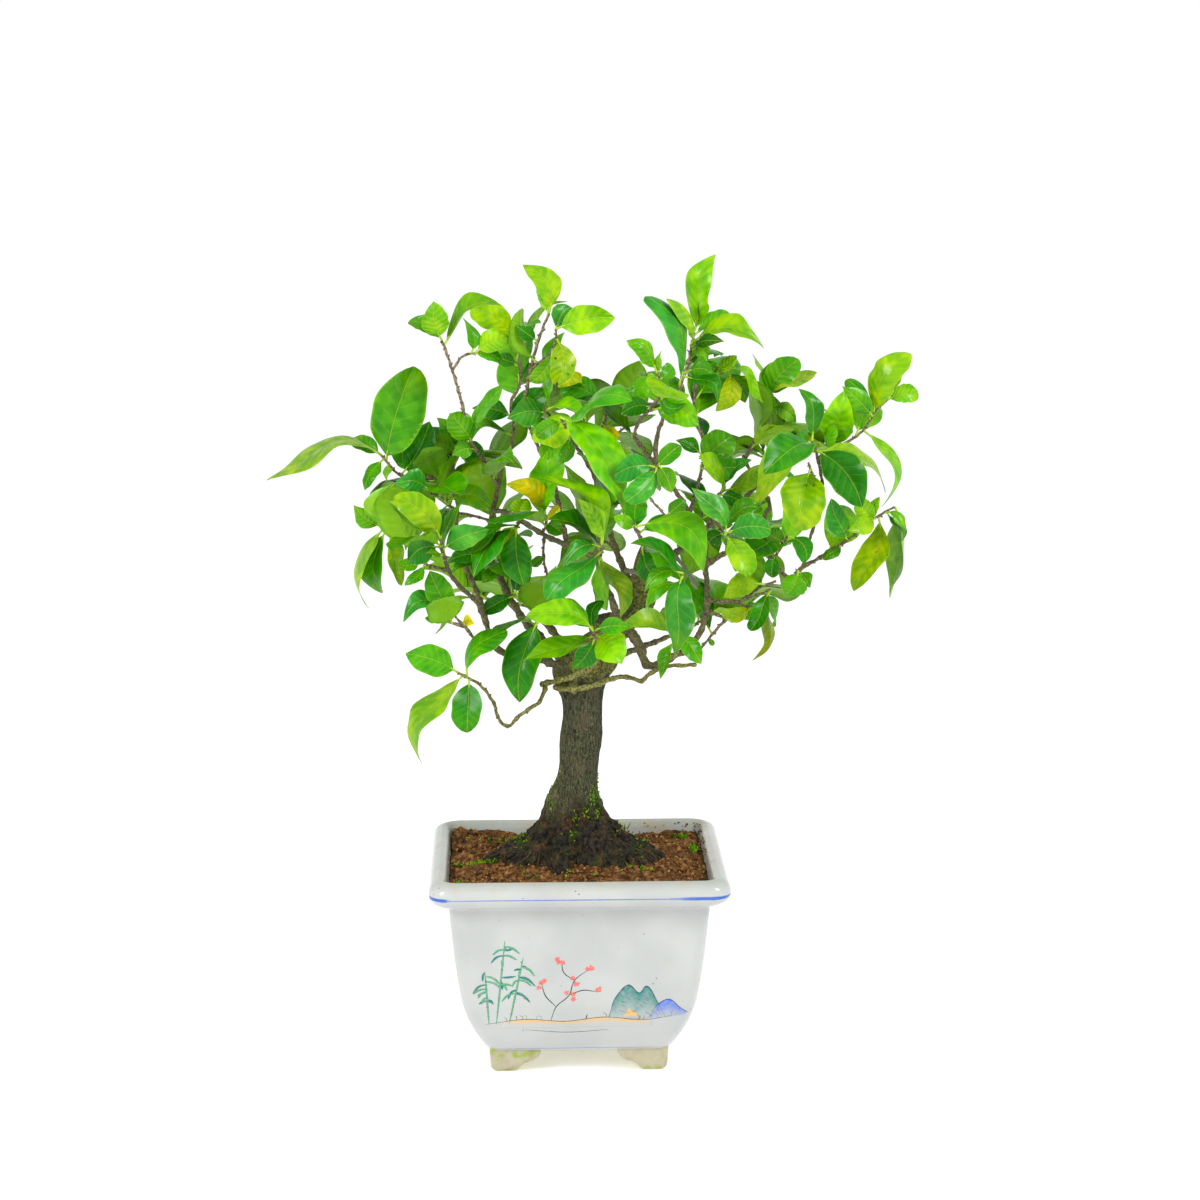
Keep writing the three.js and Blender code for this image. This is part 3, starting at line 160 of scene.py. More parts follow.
# The trunk from the root base upwards: height, left and right edge, half depth, distance
# behind the upright plane, and how deep its folds are
TRUNK = [
    (84, -16, 16, 14, 0, 0.02), (104, -26, 26, 22, 0, 0.15), (117, -33, 31, 27, 0, 0.3),
    (124, -28, 26, 22, 0, 0.28), (131, -23, 20, 18, 0, 0.22), (140, -19, 14.5, 14.5, 0, 0.12),
    (152, -15.5, 11.5, 12, 0, 0.07), (164, -10.6, 11, 11, 0, 0.05), (182, -9.8, 13, 11, 0, 0.07),
    (206, -8.5, 13.8, 11, 0, 0.05), (216, -12.5, 15.5, 12, 1, 0.08), (225, -13, 21, 12, 2, 0.1),
    (233, -7, 22.5, 11.5, 4, 0.08), (243, 8, 30, 10, 7, 0.06), (254, 24, 41, 8.5, 10, 0.06),
    (270, 29, 45, 7.5, 13, 0.06), (284, 33, 45.5, 6, 14, 0.05), (294, 37, 43.5, 3.2, 14, 0.02),
]

# The knot hole: place, radius and depth
KNOT_PLACE = (-2, 187, -11.2)
KNOT_RADIUS = 1.5
KNOT_DEPTH = 2.6

# The lumpy end of the trunk beside its fork: radius at both ends, and the route
CREST = ((9.5, 6.5), [(9, 224, 4), (13, 238, 5), (17, 251, 5)])

# Surface roots: compass turn in degrees from the right, counted towards the back, and reach
ROOTS = [
    (2, 50), (38, 39), (78, 33), (112, 36), (150, 44), (182, 52), (213, 43), (245, 31),
    (283, 30), (323, 45),
]

# How a surface root runs down: share of its reach, farther out by, and height
ROOT_SLOPE = [(0, 12, ROOT_TOP), (0.5, 0, 125.5), (0.8, 0, 118.5), (1, 3, 109)]

# Main limbs: radius at both ends, and the route
LIMBS = {
    "low_wrap": ((2.3, 1.9), [(12, 243, 2), (13, 234, -8), (9, 226, -14), (0, 220, -15.5),
        (-9, 217, -14.5), (-20, 214.5, -6)]),
    "low_right": ((2.1, 1.4), [(-13, 213, -7), (0, 211.5, -14), (10, 214, -15.5), (20, 217.5, -13),
        (30, 218, -12), (36, 216, -13), (39, 219, -14), (46, 223, -14), (66, 225, -15)]),
    "low_stub": ((1.7, 1.5), [(44, 222, -14), (47, 226, -15), (55, 231, -17)]),
    "right": ((2.7, 1.3), [(30, 243, 4), (35, 235, 0), (39, 225, -6), (45, 225, -10), (52, 229, -10),
        (60, 233, -8), (67, 241, -4), (71, 252, 0), (71, 282, 2), (70, 296, 0), (64, 307, -4),
        (51, 327, -10), (45, 335, -12), (36, 347, -12)]),
    "right_top": ((1.9, 1.3), [(45, 335, -12), (43, 345, -15), (45, 357, -20), (49, 370, -24)]),
    "right_low": ((1.9, 1.4), [(71, 281, 2), (80, 287, 4), (90, 292, 2), (98, 294, -2),
        (104, 290, -6), (108, 284, -10), (113, 277, -14), (118, 274, -16), (125, 280, -16)]),
    "right_back": ((2, 1.3), [(104, 290, -6), (106, 296, -2), (103, 307, 8), (106, 315, 16),
        (100, 324, 22), (91, 342, 30)]),
    "right_high": ((1.4, 1.1), [(125, 280, -16), (126, 288, -16), (131, 304, -14), (135, 321, -12),
        (131, 345, -14)]),
    "left_low": ((3.1, 1.2), [(2, 220, 0), (-10, 225, -3), (-22, 229, -6), (-34, 230, -9),
        (-43, 234, -12), (-48, 243, -14), (-51, 252, -15), (-54, 259, -16), (-66, 272, -19),
        (-71, 280, -20), (-74, 291, -22)]),
    "left_back": ((1.9, 1.3), [(-50, 250, -15), (-55, 266, -5), (-58, 274, 2), (-64, 289, 14),
        (-66, 309, 20), (-65, 316, 20), (-70, 327, 20), (-67, 345, 24)]),
    "left_high": ((3.3, 1.3), [(0, 224, 2), (-12, 233, 8), (-22, 243, 12), (-34, 258, 16),
        (-44, 279, 19), (-48, 288, 20), (-48, 300, 20), (-46, 312, 18), (-42, 331, 14), (-41, 337, 12),
        (-35, 349, 8)]),
    "centre": ((2.7, 1.1), [(31, 257, 10), (22, 254, 2), (20, 260, -4), (16, 270, -8), (12, 280, -10),
        (11, 287, -10), (17, 304, -6), (18, 326, -2), (16, 340, 0), (12, 358, 4)]),
    "crown": ((1.9, 1.2), [(11, 286, -10), (3, 289, -6), (-4, 292, 0), (-7, 302, 4), (-14, 332, 6),
        (-22, 350, 2), (-28, 366, -4), (-28, 377, -8)]),
    "cross": ((1.9, 1.6), [(-4, 292, 0), (-20, 300, -5), (-38, 311, 4), (-46, 313, 17)]),
    "crown_back": ((1.8, 1.2), [(14, 296, -8), (12, 308, 0), (10, 330, 8), (1, 346, 8), (-7, 356, 4),
        (-14, 363, 0)]),
    "back_left": ((3.4, 1.4), [(4, 222, 5), (-8, 238, 22), (-22, 256, 38), (-34, 276, 50),
        (-42, 298, 58)]),
    "back_middle": ((3.1, 1.3), [(34, 258, 12), (28, 274, 30), (20, 294, 44), (13, 318, 52),
        (9, 342, 56)]),
    "back_right": ((2.9, 1.3), [(38, 274, 13), (52, 286, 28), (70, 300, 42), (88, 315, 52),
        (104, 330, 58)]),
    "back_low": ((2.6, 1.3), [(16, 228, 6), (30, 233, 26), (48, 240, 42), (66, 248, 54)]),
}

# Cut stubs and dead wood on the limbs, which are light grey
STUBS = [
    ((1.9, 1.7), [(27, 279, 8), (37, 276, 0), (47, 272.5, -6)]),
    ((1.5, 1.3), [(53, 288, 2), (60, 279, -4), (66, 268, -8)]),
    ((1.5, 1.2), [(43, 347, -15), (43.5, 351, -17), (45, 358, -20)]),
]

# Leafy sprays. A twig has its radius at both ends and its route from the limb outwards.
# A leaf is: where it leaves the twig (across, up), its tip (across, up), how wide it looks,
# how far it bows to its left, how much farther back its tip lies than its root, and its tone,
# with its shape where the photograph shows one.
# spare is how many small leaves fill the spray behind the ones that are listed.
SPRAYS = {
    "spray_low_left": {"spare": 0, "twigs": [
        ((1.6, 1), [(-17, 215, -8), (-20, 206, -14), (-33, 196, -20), (-38, 190.5, -22),
            (-43, 194, -24), (-46, 203, -26), (-56, 216, -30), (-66, 221.5, -32)]),
    ], "leaves": [
        (-66, 222, -95, 232.5, 16, -2, -4, "mid", "oval"),
        (-64, 219, -86.5, 169, 12.5, -6, -6, "lime", "drawn"),
        (-60, 217, -61.5, 187, 15.5, 0, -10, "dark", "round"),
        (-61, 219, -38.5, 245, 10, 5, 4, "mid", "blunt"),
    ]},
    "spray_left_fork": {"spare": 1, "twigs": [
        ((1.5, 0.9), [(-44, 236, -12), (-53, 236, -22), (-62, 247, -30), (-76, 252, -34)]),
        ((1, 0.8), [(-62, 247, -30), (-70, 257, -32)]),
    ], "leaves": [
        (-70, 257, -96, 250, 9, -7, -4, "blue", "oval"), (-70, 257, -81, 279, 14, 1, 2, "mid", "oval"),
        (-75, 251, -85, 262, 4, -3, -4, "pale"), (-64, 249, -57, 249, 6, 2, -4, "yellow"),
        (-73, 251, -84, 253, 5, 0, 6, "light"),
    ]},
    "spray_left_dark": {"spare": 1, "twigs": [
        ((1.2, 0.8), [(-24, 246, 12), (-22, 250, -8), (-21, 251, -26)]),
    ], "leaves": [
        (-21, 250, -32, 204, 19, -3, -6, "dark", "oval"), (-22, 250, -4, 262, 8, 1, -4, "mid"),
    ]},
    "spray_left_bend": {"spare": 2, "twigs": [
        ((1.2, 0.8), [(-37, 263, 17), (-35, 265, 2), (-33, 265, -8)]),
    ], "leaves": [
        (-34, 265, -54, 255, 9, 0, -4, "dark"), (-33, 265, -27, 282, 7, 2, -4, "deep"),
    ]},
    "spray_left_limb": {"spare": 2, "twigs": [
        ((1.2, 0.8), [(-44, 281, 19), (-48, 285, 8), (-50, 287, -2)]),
    ], "leaves": [
        (-50, 287, -72, 283, 8, -2, -2, "dark"), (-49, 286, -70, 276, 7, -1, -6, "mid"),
        (-48, 285, -60, 294, 5, 1, -3, "light"), (-47, 284, -52, 272, 8, 2, -10, "mid"),
    ]},
    "spray_left_middle": {"spare": 2, "twigs": [
        ((1.4, 0.9), [(-72, 284, -20), (-74, 291, -28), (-75, 297, -34)]),
    ], "leaves": [
        (-75, 297, -100, 321, 15, -4, -6, "lime", "round"), (-75, 296, -103, 318, 9, 2, -14, "pale"),
        (-74, 292, -93, 284, 15, -4, 4, "dark"), (-75, 297, -71, 316, 7, 1, 2, "blue"),
        (-74, 291, -48, 302, 13, 2, -10, "blue"), (-74, 289, -83, 289, 5, 1, -4, "light"),
    ]},
    "spray_left_hanging": {"spare": 1, "twigs": [
        ((1.3, 0.9), [(-70, 279, -19), (-84, 283.5, -10), (-90, 291, -5), (-107, 304, 0)]),
    ], "leaves": [
        (-107, 304, -122, 316, 10, 2, -4, "light"), (-107, 304, -115, 258, 7, -6, -10, "lime", "drawn"),
        (-106, 303, -107.5, 266.5, 12, -3, 2, "mid", "blunt"),
        (-104, 302, -96, 271, 10, -2, 8, "lime", "blunt"), (-107, 304, -99, 328, 14, 9, -8, "pale"),
        (-86, 286, -99, 283, 7, 2, -6, "mid"), (-84, 284, -95, 271, 6, 3, -6, "mid"),
    ]},
    "spray_left_upper": {"spare": 2, "twigs": [
        ((1.5, 0.9), [(-70, 326, 20), (-80, 331, 18), (-97, 333, 12), (-107, 344, 10)]),
    ], "leaves": [
        (-107, 344, -169.5, 330, 9, -5, -8, "pale", "drawn"), (-106, 344, -125, 352, 9, -1, 6, "mid"),
        (-104, 341, -88, 392, 27, 2, -6, "mid", "round"), (-106, 343, -116, 324, 7, -1, -4, "mid"),
        (-105, 342, -104, 329, 5, 0, -8, "pale"), (-95, 333, -80, 362, 15, -2, 8, "dark"),
        (-88, 332, -96, 352, 10, 2, 10, "mid"),
    ]},
    "spray_left_inner": {"spare": 2, "twigs": [
        ((1.2, 0.8), [(-66, 312, 20), (-76, 321, 6), (-80, 322, -2)]),
    ], "leaves": [
        (-79, 322, -101, 327, 13, -5, -8, "blue"), (-71, 318, -47, 314, 12, 6, -6, "light"),
        (-70, 318, -44, 341, 6, 6, -10, "lime"),
    ]},
    "spray_left_shade": {"spare": 2, "twigs": [
        ((1.2, 0.8), [(-68, 334, 22), (-66, 342, 28), (-63, 346, 32)]),
    ], "leaves": [
        (-64, 345, -50, 341, 12, 2, -6, "dark"), (-65, 344, -84, 352, 12, -2, -4, "pale"),
        (-64, 346, -76, 364, 12, -2, 2, "mid"), (-66, 342, -82, 333, 10, 0, 8, "dark"),
    ]},
    "spray_top_left": {"spare": 1, "twigs": [
        ((1.5, 0.9), [(-43, 326, 15), (-52, 342, 4), (-57, 349, -2), (-62, 370, -12), (-68, 392, -18),
            (-73, 406, -20)]),
        ((1, 0.8), [(-67, 390, -17), (-62, 397, -19), (-55, 399, -20)]),
    ], "leaves": [
        (-73, 406, -77, 427, 14, 2, -4, "lime"), (-73, 406, -91, 416, 9, -4, 2, "mid"),
        (-73, 406, -41, 425, 8, 5, -4, "light"), (-57, 398, -61, 418, 7, -3, -4, "mid"),
        (-55, 399, -37, 407, 12, 2, -4, "lime"), (-56, 399, -40, 393.5, 7, 2, 4, "mid"),
        (-57, 350, -69, 366, 14, -1, -6, "mid"), (-55, 346, -68, 343, 10, -2, -6, "mid"),
        (-58, 356, -40, 382, 7, -2, -6, "mid"),
    ]},
    "spray_top_inner": {"spare": 2, "twigs": [
        ((1.3, 0.9), [(-36, 347, 9), (-34, 361, 12), (-36, 371, 14), (-31, 381, 15),
            (-33.5, 406, 16)]),
    ], "leaves": [
        (-33.5, 406, -57, 424, 15, -3, -4, "lime"), (-33, 404, -49, 406, 9, -2, 4, "mid"),
        (-35, 364, -57, 369, 11, -2, -4, "dark"), (-34, 358, -17, 379, 15, 2, -14, "dark"),
        (-33.5, 354, -58, 350, 5, -5, -8, "mid"), (-31, 392, -44, 396, 8, -1, 6, "mid"),
    ]},
    "spray_top_middle": {"spare": 1, "twigs": [
        ((1.4, 0.9), [(-28, 374, -7), (-23, 398, -18), (-20, 408, -22), (-15, 420, -26)]),
        ((1.1, 0.8), [(-25.5, 390, -14), (-12, 402, -26), (-11, 412, -30)]),
    ], "leaves": [
        (-15, 420, -29, 446.5, 13, -7, -6, "lime"), (-15, 420, -21, 437, 8, -2, 4, "pale"),
        (-11, 411.5, 21, 418, 15, 2, -4, "lime", "oval"), (-11, 412, -3, 424, 11, 2, 6, "blue"),
        (-11.5, 408, -11, 381, 13, 4, -8, "spotted", "blunt"), (-13, 401, -25, 383, 9, 3, 2, "light"),
        (-21, 405, -33, 414, 8, 0, -6, "dark"),
    ]},
    "spray_crown_left": {"spare": 2, "twigs": [
        ((1.2, 0.8), [(-9, 358, 3), (-14, 364, -8), (-18, 369, -18)]),
    ], "leaves": [
        (-15, 365, -38, 363, 15, -3, -6, "blue"), (-17, 368, 6, 361, 7, 4, -10, "lime"),
        (-13, 363, -26, 355, 8, 0, -14, "mid"),
    ]},
    "spray_crown_front": {"spare": 1, "twigs": [
        ((1.2, 0.8), [(0, 348, 7), (-4, 354, -18), (-9, 364, -58)]),
    ], "leaves": [
        (-9, 364, 27, 308, 19, 3, -28, "light", "drawn"), (-5, 356, -19, 341, 10, -1, -10, "light"),
        (-4, 354, -10, 338, 8, 2, -4, "mid"), (-8, 361, -22, 353, 9, -1, -4, "mid"),
    ]},
    "spray_crown_middle": {"spare": 2, "twigs": [
        ((1.2, 0.9), [(12.5, 353, 3), (15.5, 369, 8), (11, 373, 10), (4, 381.5, 12)]),
    ], "leaves": [
        (14, 370, -9, 380, 14, -4, 6, "mid"), (5, 380, -10, 380, 6, -2, -8, "yellow"),
        (5, 381, -4, 388, 5, -1, -4, "yellow"), (13, 357, 17, 345, 6, 0, -12, "yellow"),
        (13.5, 360, 23, 351, 5, 0, -10, "yellow"), (14, 363, 27, 378, 5, 1, 6, "mid"),
        (15, 367, 21, 377, 7, -1, 10, "pale"),
    ]},
    "spray_crown_right": {"spare": 2, "twigs": [
        ((1.3, 0.9), [(48.5, 368, -23), (46, 376, -28), (44, 388, -34)]),
        ((1.4, 1.1), [(37, 346, -12), (32, 352, -16), (46, 376, -28)]),
    ], "leaves": [
        (44, 388, 27, 405.5, 9, -3, -4, "light"), (44.5, 388, 46, 400, 4, 0, 0, "pale"),
        (44, 387, 38, 384, 6, 0, -4, "lime"), (44, 375, 27, 377, 11, -4, 8, "mid"),
        (40, 369, 24, 365, 10, -3, -4, "dark"), (44.5, 384, 52, 392, 8, -1, 6, "mid"),
        (47, 377, 60, 371, 7, -6, -6, "dark"), (42, 367, 67, 359, 15, 5, -16, "light"),
    ]},
    "spray_top_right": {"spare": 2, "twigs": [
        ((1.3, 0.9), [(48.5, 367, -23), (54, 375, -14), (61, 395, 0), (64, 411, 8)]),
    ], "leaves": [
        (64, 411, 75, 452, 13.5, 1, -4, "lime", "oval"), (63, 403, 49, 428, 5, -4, 2, "pale"),
        (64, 410, 62.5, 434, 5, -3, 6, "mid"), (63.5, 404, 102, 401, 11, 7, -6, "lime", "drawn"),
        (63, 402, 80, 405, 7, 1, -14, "deep"), (64, 410, 87, 415.5, 7, 3, 6, "light"),
        (63, 402, 71, 393, 8, 4, -4, "light"), (58, 386, 77, 371, 8, 5, -8, "dark"),
        (58.5, 387, 76, 385, 13, 4, 4, "mid"), (56, 382, 37, 429.5, 10, -6, 2, "blue", "blunt"),
    ]},
    "spray_top_far_right": {"spare": 2, "twigs": [
        ((1.4, 0.9), [(62, 310, -5), (66, 325, 2), (70, 349, 12), (64.5, 364, 14), (66, 383, 18),
            (82, 389, 20)]),
    ], "leaves": [
        (82, 389, 76, 366.5, 11, 5, -8, "spotted"), (82, 389, 92, 371, 9, 3, 2, "mid"),
        (82, 389, 102, 371, 6, 4, -6, "light"), (81, 389, 71, 391, 4, -1, 0, "mid"),
        (82, 389, 87, 397, 6, 0, 0, "lime"), (69, 336, 86, 353, 17, 2, 8, "mid"),
        (69, 335, 88, 336, 14, 0, 0, "mid"), (70, 342, 54, 351, 8, -2, 6, "dark"),
    ]},
    "spray_upper_right": {"spare": 2, "twigs": [
        ((1.6, 0.9), [(92, 340, 29), (98, 352, 30), (104.5, 361, 30), (102.5, 376, 32)]),
    ], "leaves": [
        (103, 374, 121, 395, 15, 2, -4, "mid", "round"), (103, 372, 131, 388, 9, 2, 2, "pale", "oval"),
        (102.5, 376, 96, 398, 4, -1, -2, "pale"), (103, 367, 120, 360.5, 9, 4, -6, "pale"),
        (102.5, 375, 108, 394, 10, 1, 8, "mid"),
    ]},
    "spray_right_top": {"spare": 1, "twigs": [
        ((1.2, 0.8), [(132, 340, -13), (140, 345, -6), (157, 356, -2), (164, 367, -4),
            (170, 373, -6)]),
    ], "leaves": [
        (161, 366, 182, 398, 15, 5, -4, "lime", "round"), (160.5, 365, 145, 380, 12, -1, -8, "light"),
        (160, 364, 147, 384, 8, -1, 4, "dark"), (170, 373, 171.5, 396, 9, -2, -8, "pale"),
        (170, 373, 187, 375, 10, 2, 2, "lime"), (141, 345.5, 146, 378, 17, 1, -14, "lime", "oval"),
        (139, 344, 141, 359, 6, 1, -4, "light"), (139.5, 344.5, 135, 368, 4, -2, 4, "light"),
        (157, 356, 168, 313, 7, 9, -8, "lime", "drawn"),
    ]},
    "spray_right_cluster": {"spare": 1, "twigs": [
        ((1.2, 0.8), [(133, 338, -13), (130.5, 346, -26), (129, 350, -36)]),
    ], "leaves": [
        (129, 350, 121, 379, 10, -3, 2, "dark", "oval"), (129, 350, 104.5, 341, 13, -3, 4, "blue"),
        (130, 348, 96, 311, 15, -3, -26, "pale", "oval"),
        (131, 345, 157, 313, 20, 5, -10, "dark", "oval"), (131, 344, 170, 321, 8, 6, 10, "pale", "drawn"),
    ]},
    "spray_right_round": {"spare": 1, "twigs": [
        ((1, 0.8), [(135, 320, -12), (130, 330, -30), (127, 338, -44)]),
    ], "leaves": [
        (128, 335, 122, 300, 23, -1, -14, "olive", "round"), (131, 328, 133, 318, 6, 1, 2, "deep"),
    ]},
    "spray_right_end": {"spare": 1, "twigs": [
        ((1.4, 0.8), [(124, 279, -16), (148, 294, -20), (167, 309, -22), (175, 313, -22)]),
    ], "leaves": [
        (166, 308, 153, 266, 14, 7, -6, "spotted", "oval"), (171, 311, 178, 292, 4, 3, -4, "dark"),
        (175, 313, 173, 262, 8, 10, -2, "pale", "drawn"), (170, 310.5, 182, 300, 5, 2, -10, "light"),
        (163, 306, 154, 319, 10, 1, -8, "lime"), (164, 306.5, 149, 300, 10, 1, -8, "lime"),
        (149, 295, 140, 318, 11, 2, -10, "blue"), (146, 293, 136, 284, 6, 1, -6, "mid"),
        (164, 306.5, 166.5, 319, 5, 1, 2, "lime"),
    ]},
    "spray_right_low": {"spare": 2, "twigs": [
        ((1.2, 0.8), [(108, 284, -10), (112, 290, -22), (116, 297, -32)]),
    ], "leaves": [
        (114, 294, 105, 299, 10, 0, -4, "dark"), (116, 297, 127, 283, 10, 4, -4, "dark"),
        (110, 287, 108, 274, 8, -1, -6, "dark"), (112, 290, 120, 300, 7, 1, 6, "mid"),
    ]},
    "spray_right_drop": {"spare": 2, "twigs": [
        ((1, 0.8), [(119, 274.5, -16), (121, 276, -24), (122, 278, -32)]),
    ], "leaves": [
        (122, 278, 115, 264, 13, 2, -4, "mid"), (122, 278, 129, 268, 9, 1, -2, "mid"),
    ]},
    "spray_right_middle": {"spare": 1, "twigs": [
        ((1.4, 1), [(69, 297, -1), (74, 307, -22), (82, 298, -58)]),
    ], "leaves": [
        (82, 298, 63, 324.5, 11, -2, -4, "blue"), (82, 298, 107, 301, 13, 3, -4, "blue"),
        (82, 298, 96, 275, 13, 1, -10, "lime"), (82, 298, 73, 294, 9, -1, 8, "dark"),
        (79, 304, 102, 313, 9, 2, 4, "mid"), (82, 298, 88, 277, 7, 1, 8, "mid"),
    ]},
    "spray_low_right": {"spare": 1, "twigs": [
        ((1.5, 0.9), [(71, 262, 2), (77, 261, -4), (90, 261, -16), (102, 269, -24), (110, 272, -28)]),
        ((1, 0.8), [(90, 261, -16), (107, 267, -28)]),
        ((0.9, 0.8), [(84, 261, -10), (98, 257, -18)]),
    ], "leaves": [
        (104, 270, 81, 263, 12, -4, 8, "lime"), (97, 257, 80, 253, 8, 2, -6, "spotted"),
        (107, 266, 96, 244, 9, 2, -8, "dark", "blunt"), (107, 267, 97, 227, 6, 9, -4, "olive", "drawn"),
        (105, 266, 107, 246, 4, 1, -8, "mid"), (92, 258, 102, 252, 8, 1, -4, "mid"),
    ]},
    "spray_low_knot": {"spare": 1, "twigs": [
        ((1.6, 1.3), [(71, 256, 1), (78, 253, -3), (88, 251, -8)]),
        ((1.2, 0.9), [(84, 252, -6), (73, 240, -5), (68, 232, -6), (67, 229, -6)]),
    ], "leaves": [
        (87, 251, 99, 255, 8, 1, 4, "mid"), (73, 240, 76, 236, 3, 0, -2, "light"),
    ]},
    "spray_right_inner": {"spare": 2, "twigs": [
        ((1.3, 0.9), [(67, 302, -2), (72, 316, 8), (81, 323, 4)]),
    ], "leaves": [
        (80, 322, 67, 342, 7, -3, -6, "lime"), (81, 323, 107, 338, 10, -3, -12, "pale"),
        (81, 323, 96, 340, 7, 2, 4, "blue"), (81, 323, 93, 314, 9, 2, -4, "dark"),
        (77, 321, 63, 315, 9, 0, 6, "mid"),
    ]},
    "spray_centre": {"spare": 1, "twigs": [
        ((1.5, 1), [(12, 283, -10), (13, 287, -30), (14, 293, -50)]),
    ], "leaves": [
        (13.5, 292, -8, 280, 9, -4, -4, "blue"), (13, 290, -17, 262, 14, 1, -12, "blue", "blunt"),
        (13, 293, 0, 319, 10, -2, -6, "pale"), (14, 293, -21, 331, 9, -8, -2, "lime"),
        (14, 293, 13, 330, 8, 2, 6, "mid"), (13, 287, 24, 252, 11, 1, -18, "pale", "oval"),
    ]},
    "spray_cross_up": {"spare": 2, "twigs": [
        ((1, 0.8), [(-19, 299.5, -5), (-17, 304, -12), (-17, 309, -18)]),
    ], "leaves": [
        (-17, 309, -39, 327, 11, -6, -4, "yellow"), (-17, 305, -8, 299, 8, 1, -6, "mid"),
        (-17, 307, -10, 315, 5, -1, -4, "yellow"),
    ]},
    "spray_cross_down": {"spare": 1, "twigs": [
        ((1.1, 0.8), [(-18, 299, -5), (-18, 283, -11), (-15, 272, -13)]),
    ], "leaves": [
        (-18, 287, -25, 281, 5, 0, 4, "mid"),
    ]},
    "spray_cross_front": {"spare": 2, "twigs": [
        ((1, 0.8), [(-31, 306.5, -1), (-32, 305, -14), (-33, 303, -24)]),
    ], "leaves": [
        (-31, 306, -27, 319, 11, 2, 4, "spotted"), (-32, 305, -42, 294, 10, 1, 6, "spotted"),
        (-33, 303, -29, 270, 16, -2, -6, "dark"),
    ]},
    "spray_centre_low": {"spare": 0, "twigs": [
        ((1.6, 1.1), [(12, 238, -2), (10, 241, -28), (9, 245, -56)]),
    ], "leaves": [
        (9, 245, -28, 254, 13, -3, -4, "lime"), (9, 245, -9, 262, 10, 0, 6, "mid"),
        (9.5, 243, -30, 228, 11, 4, -8, "light"), (10, 241, -3, 223, 12, 2, 2, "dark"),
        (9.5, 243, 25, 226, 18, 2, -16, "lime", "oval"), (9, 245, 31, 246, 9, 2, -4, "mid"),
    ]},
    "spray_centre_right": {"spare": 1, "twigs": [
        ((1.6, 1.1), [(38, 285, 13), (36, 294, -14), (32, 303, -52)]),
    ], "leaves": [
        (32, 303, 70, 277, 17, 13, -10, "light", "oval"), (32.5, 302, 20, 309, 7, 0, -2, "light"),
        (36, 293, 50, 272, 13, -5, 2, "dark"), (33, 301, 35, 323, 13, 2, 4, "dark"),
        (33.5, 299, 60, 304, 9, 3, 8, "mid"),
    ]},
    "spray_front_top": {"spare": 1, "twigs": [
        ((1.4, 1), [(18, 313, -4), (26, 319, -30), (45, 337, -78)]),
        ((1, 0.8), [(33, 326, -47), (49, 309, -40)]),
    ], "leaves": [
        (44, 336, 20, 331, 13, -3, -8, "blue"), (44, 336, 27, 317, 12, 2, -16, "blue"),
        (45, 337, 52, 322, 9, 1, -6, "mid"), (45, 337, 57, 348, 9, 1, 8, "mid"),
        (49, 309, 60, 318, 8, 0, 4, "mid"),
    ]},
    "spray_low_middle": {"spare": 1, "twigs": [
        ((1.4, 1), [(55, 231, -9), (57, 245, -34), (58.5, 277, -66)]),
    ], "leaves": [
        (58, 276, 54, 231, 15, 2, -18, "blue", "oval"), (58, 276, 37, 266, 8, -4, -4, "mid"),
        (57, 272, 38, 254, 7, -4, 6, "light"), (57, 243, 69, 225.5, 10, 1, -12, "mid"),
        (56, 240, 46, 217, 6, 1, -8, "light"), (56, 240, 22, 246, 10, -4, -6, "pale"),
    ]},
    "spray_back_left": {"spare": 9, "twigs": [
        ((1.3, 0.8), [(-42, 296, 57), (-46, 314, 64), (-48, 334, 70)]),
        ((1.2, 0.8), [(-44, 306, 61), (-58, 310, 54), (-76, 312, 54)]),
    ], "leaves": []},
    "spray_back_left_low": {"spare": 7, "twigs": [
        ((1.2, 0.8), [(-24, 258, 40), (-42, 262, 58), (-58, 264, 74)]),
    ], "leaves": []},
    "spray_back_middle": {"spare": 9, "twigs": [
        ((1.2, 0.8), [(9, 340, 56), (5, 356, 54), (2, 376, 52)]),
        ((1.2, 0.8), [(7, 350, 55), (20, 354, 66), (30, 360, 76)]),
    ], "leaves": []},
    "spray_back_middle_low": {"spare": 7, "twigs": [
        ((1.2, 0.8), [(20, 292, 43), (10, 298, 62), (0, 304, 80)]),
    ], "leaves": []},
    "spray_back_right": {"spare": 9, "twigs": [
        ((1.3, 0.8), [(102, 329, 57), (114, 338, 56), (126, 346, 54)]),
        ((1.2, 0.8), [(108, 334, 56), (102, 344, 70), (94, 352, 82)]),
    ], "leaves": []},
    "spray_back_right_low": {"spare": 8, "twigs": [
        ((1.2, 0.8), [(68, 298, 41), (82, 296, 58), (96, 292, 74)]),
    ], "leaves": []},
    "spray_back_low": {"spare": 7, "twigs": [
        ((1.2, 0.8), [(64, 247, 53), (76, 254, 62), (88, 262, 68)]),
    ], "leaves": []},
}

# Small leaves in the middle of the crown that only the looks have: the spray, and the leaf
INNER_LEAVES = [
    ("spray_centre", (12, 284, 10, 260, 8, 3, 8, "deep", "drawn")),
    ("spray_centre", (13, 286, 17, 256, 8, -3, 14, "light", "oval")),
    ("spray_centre_low", (9.5, 244, 14, 262, 7, 3, 10, "dark", "blunt")),
]

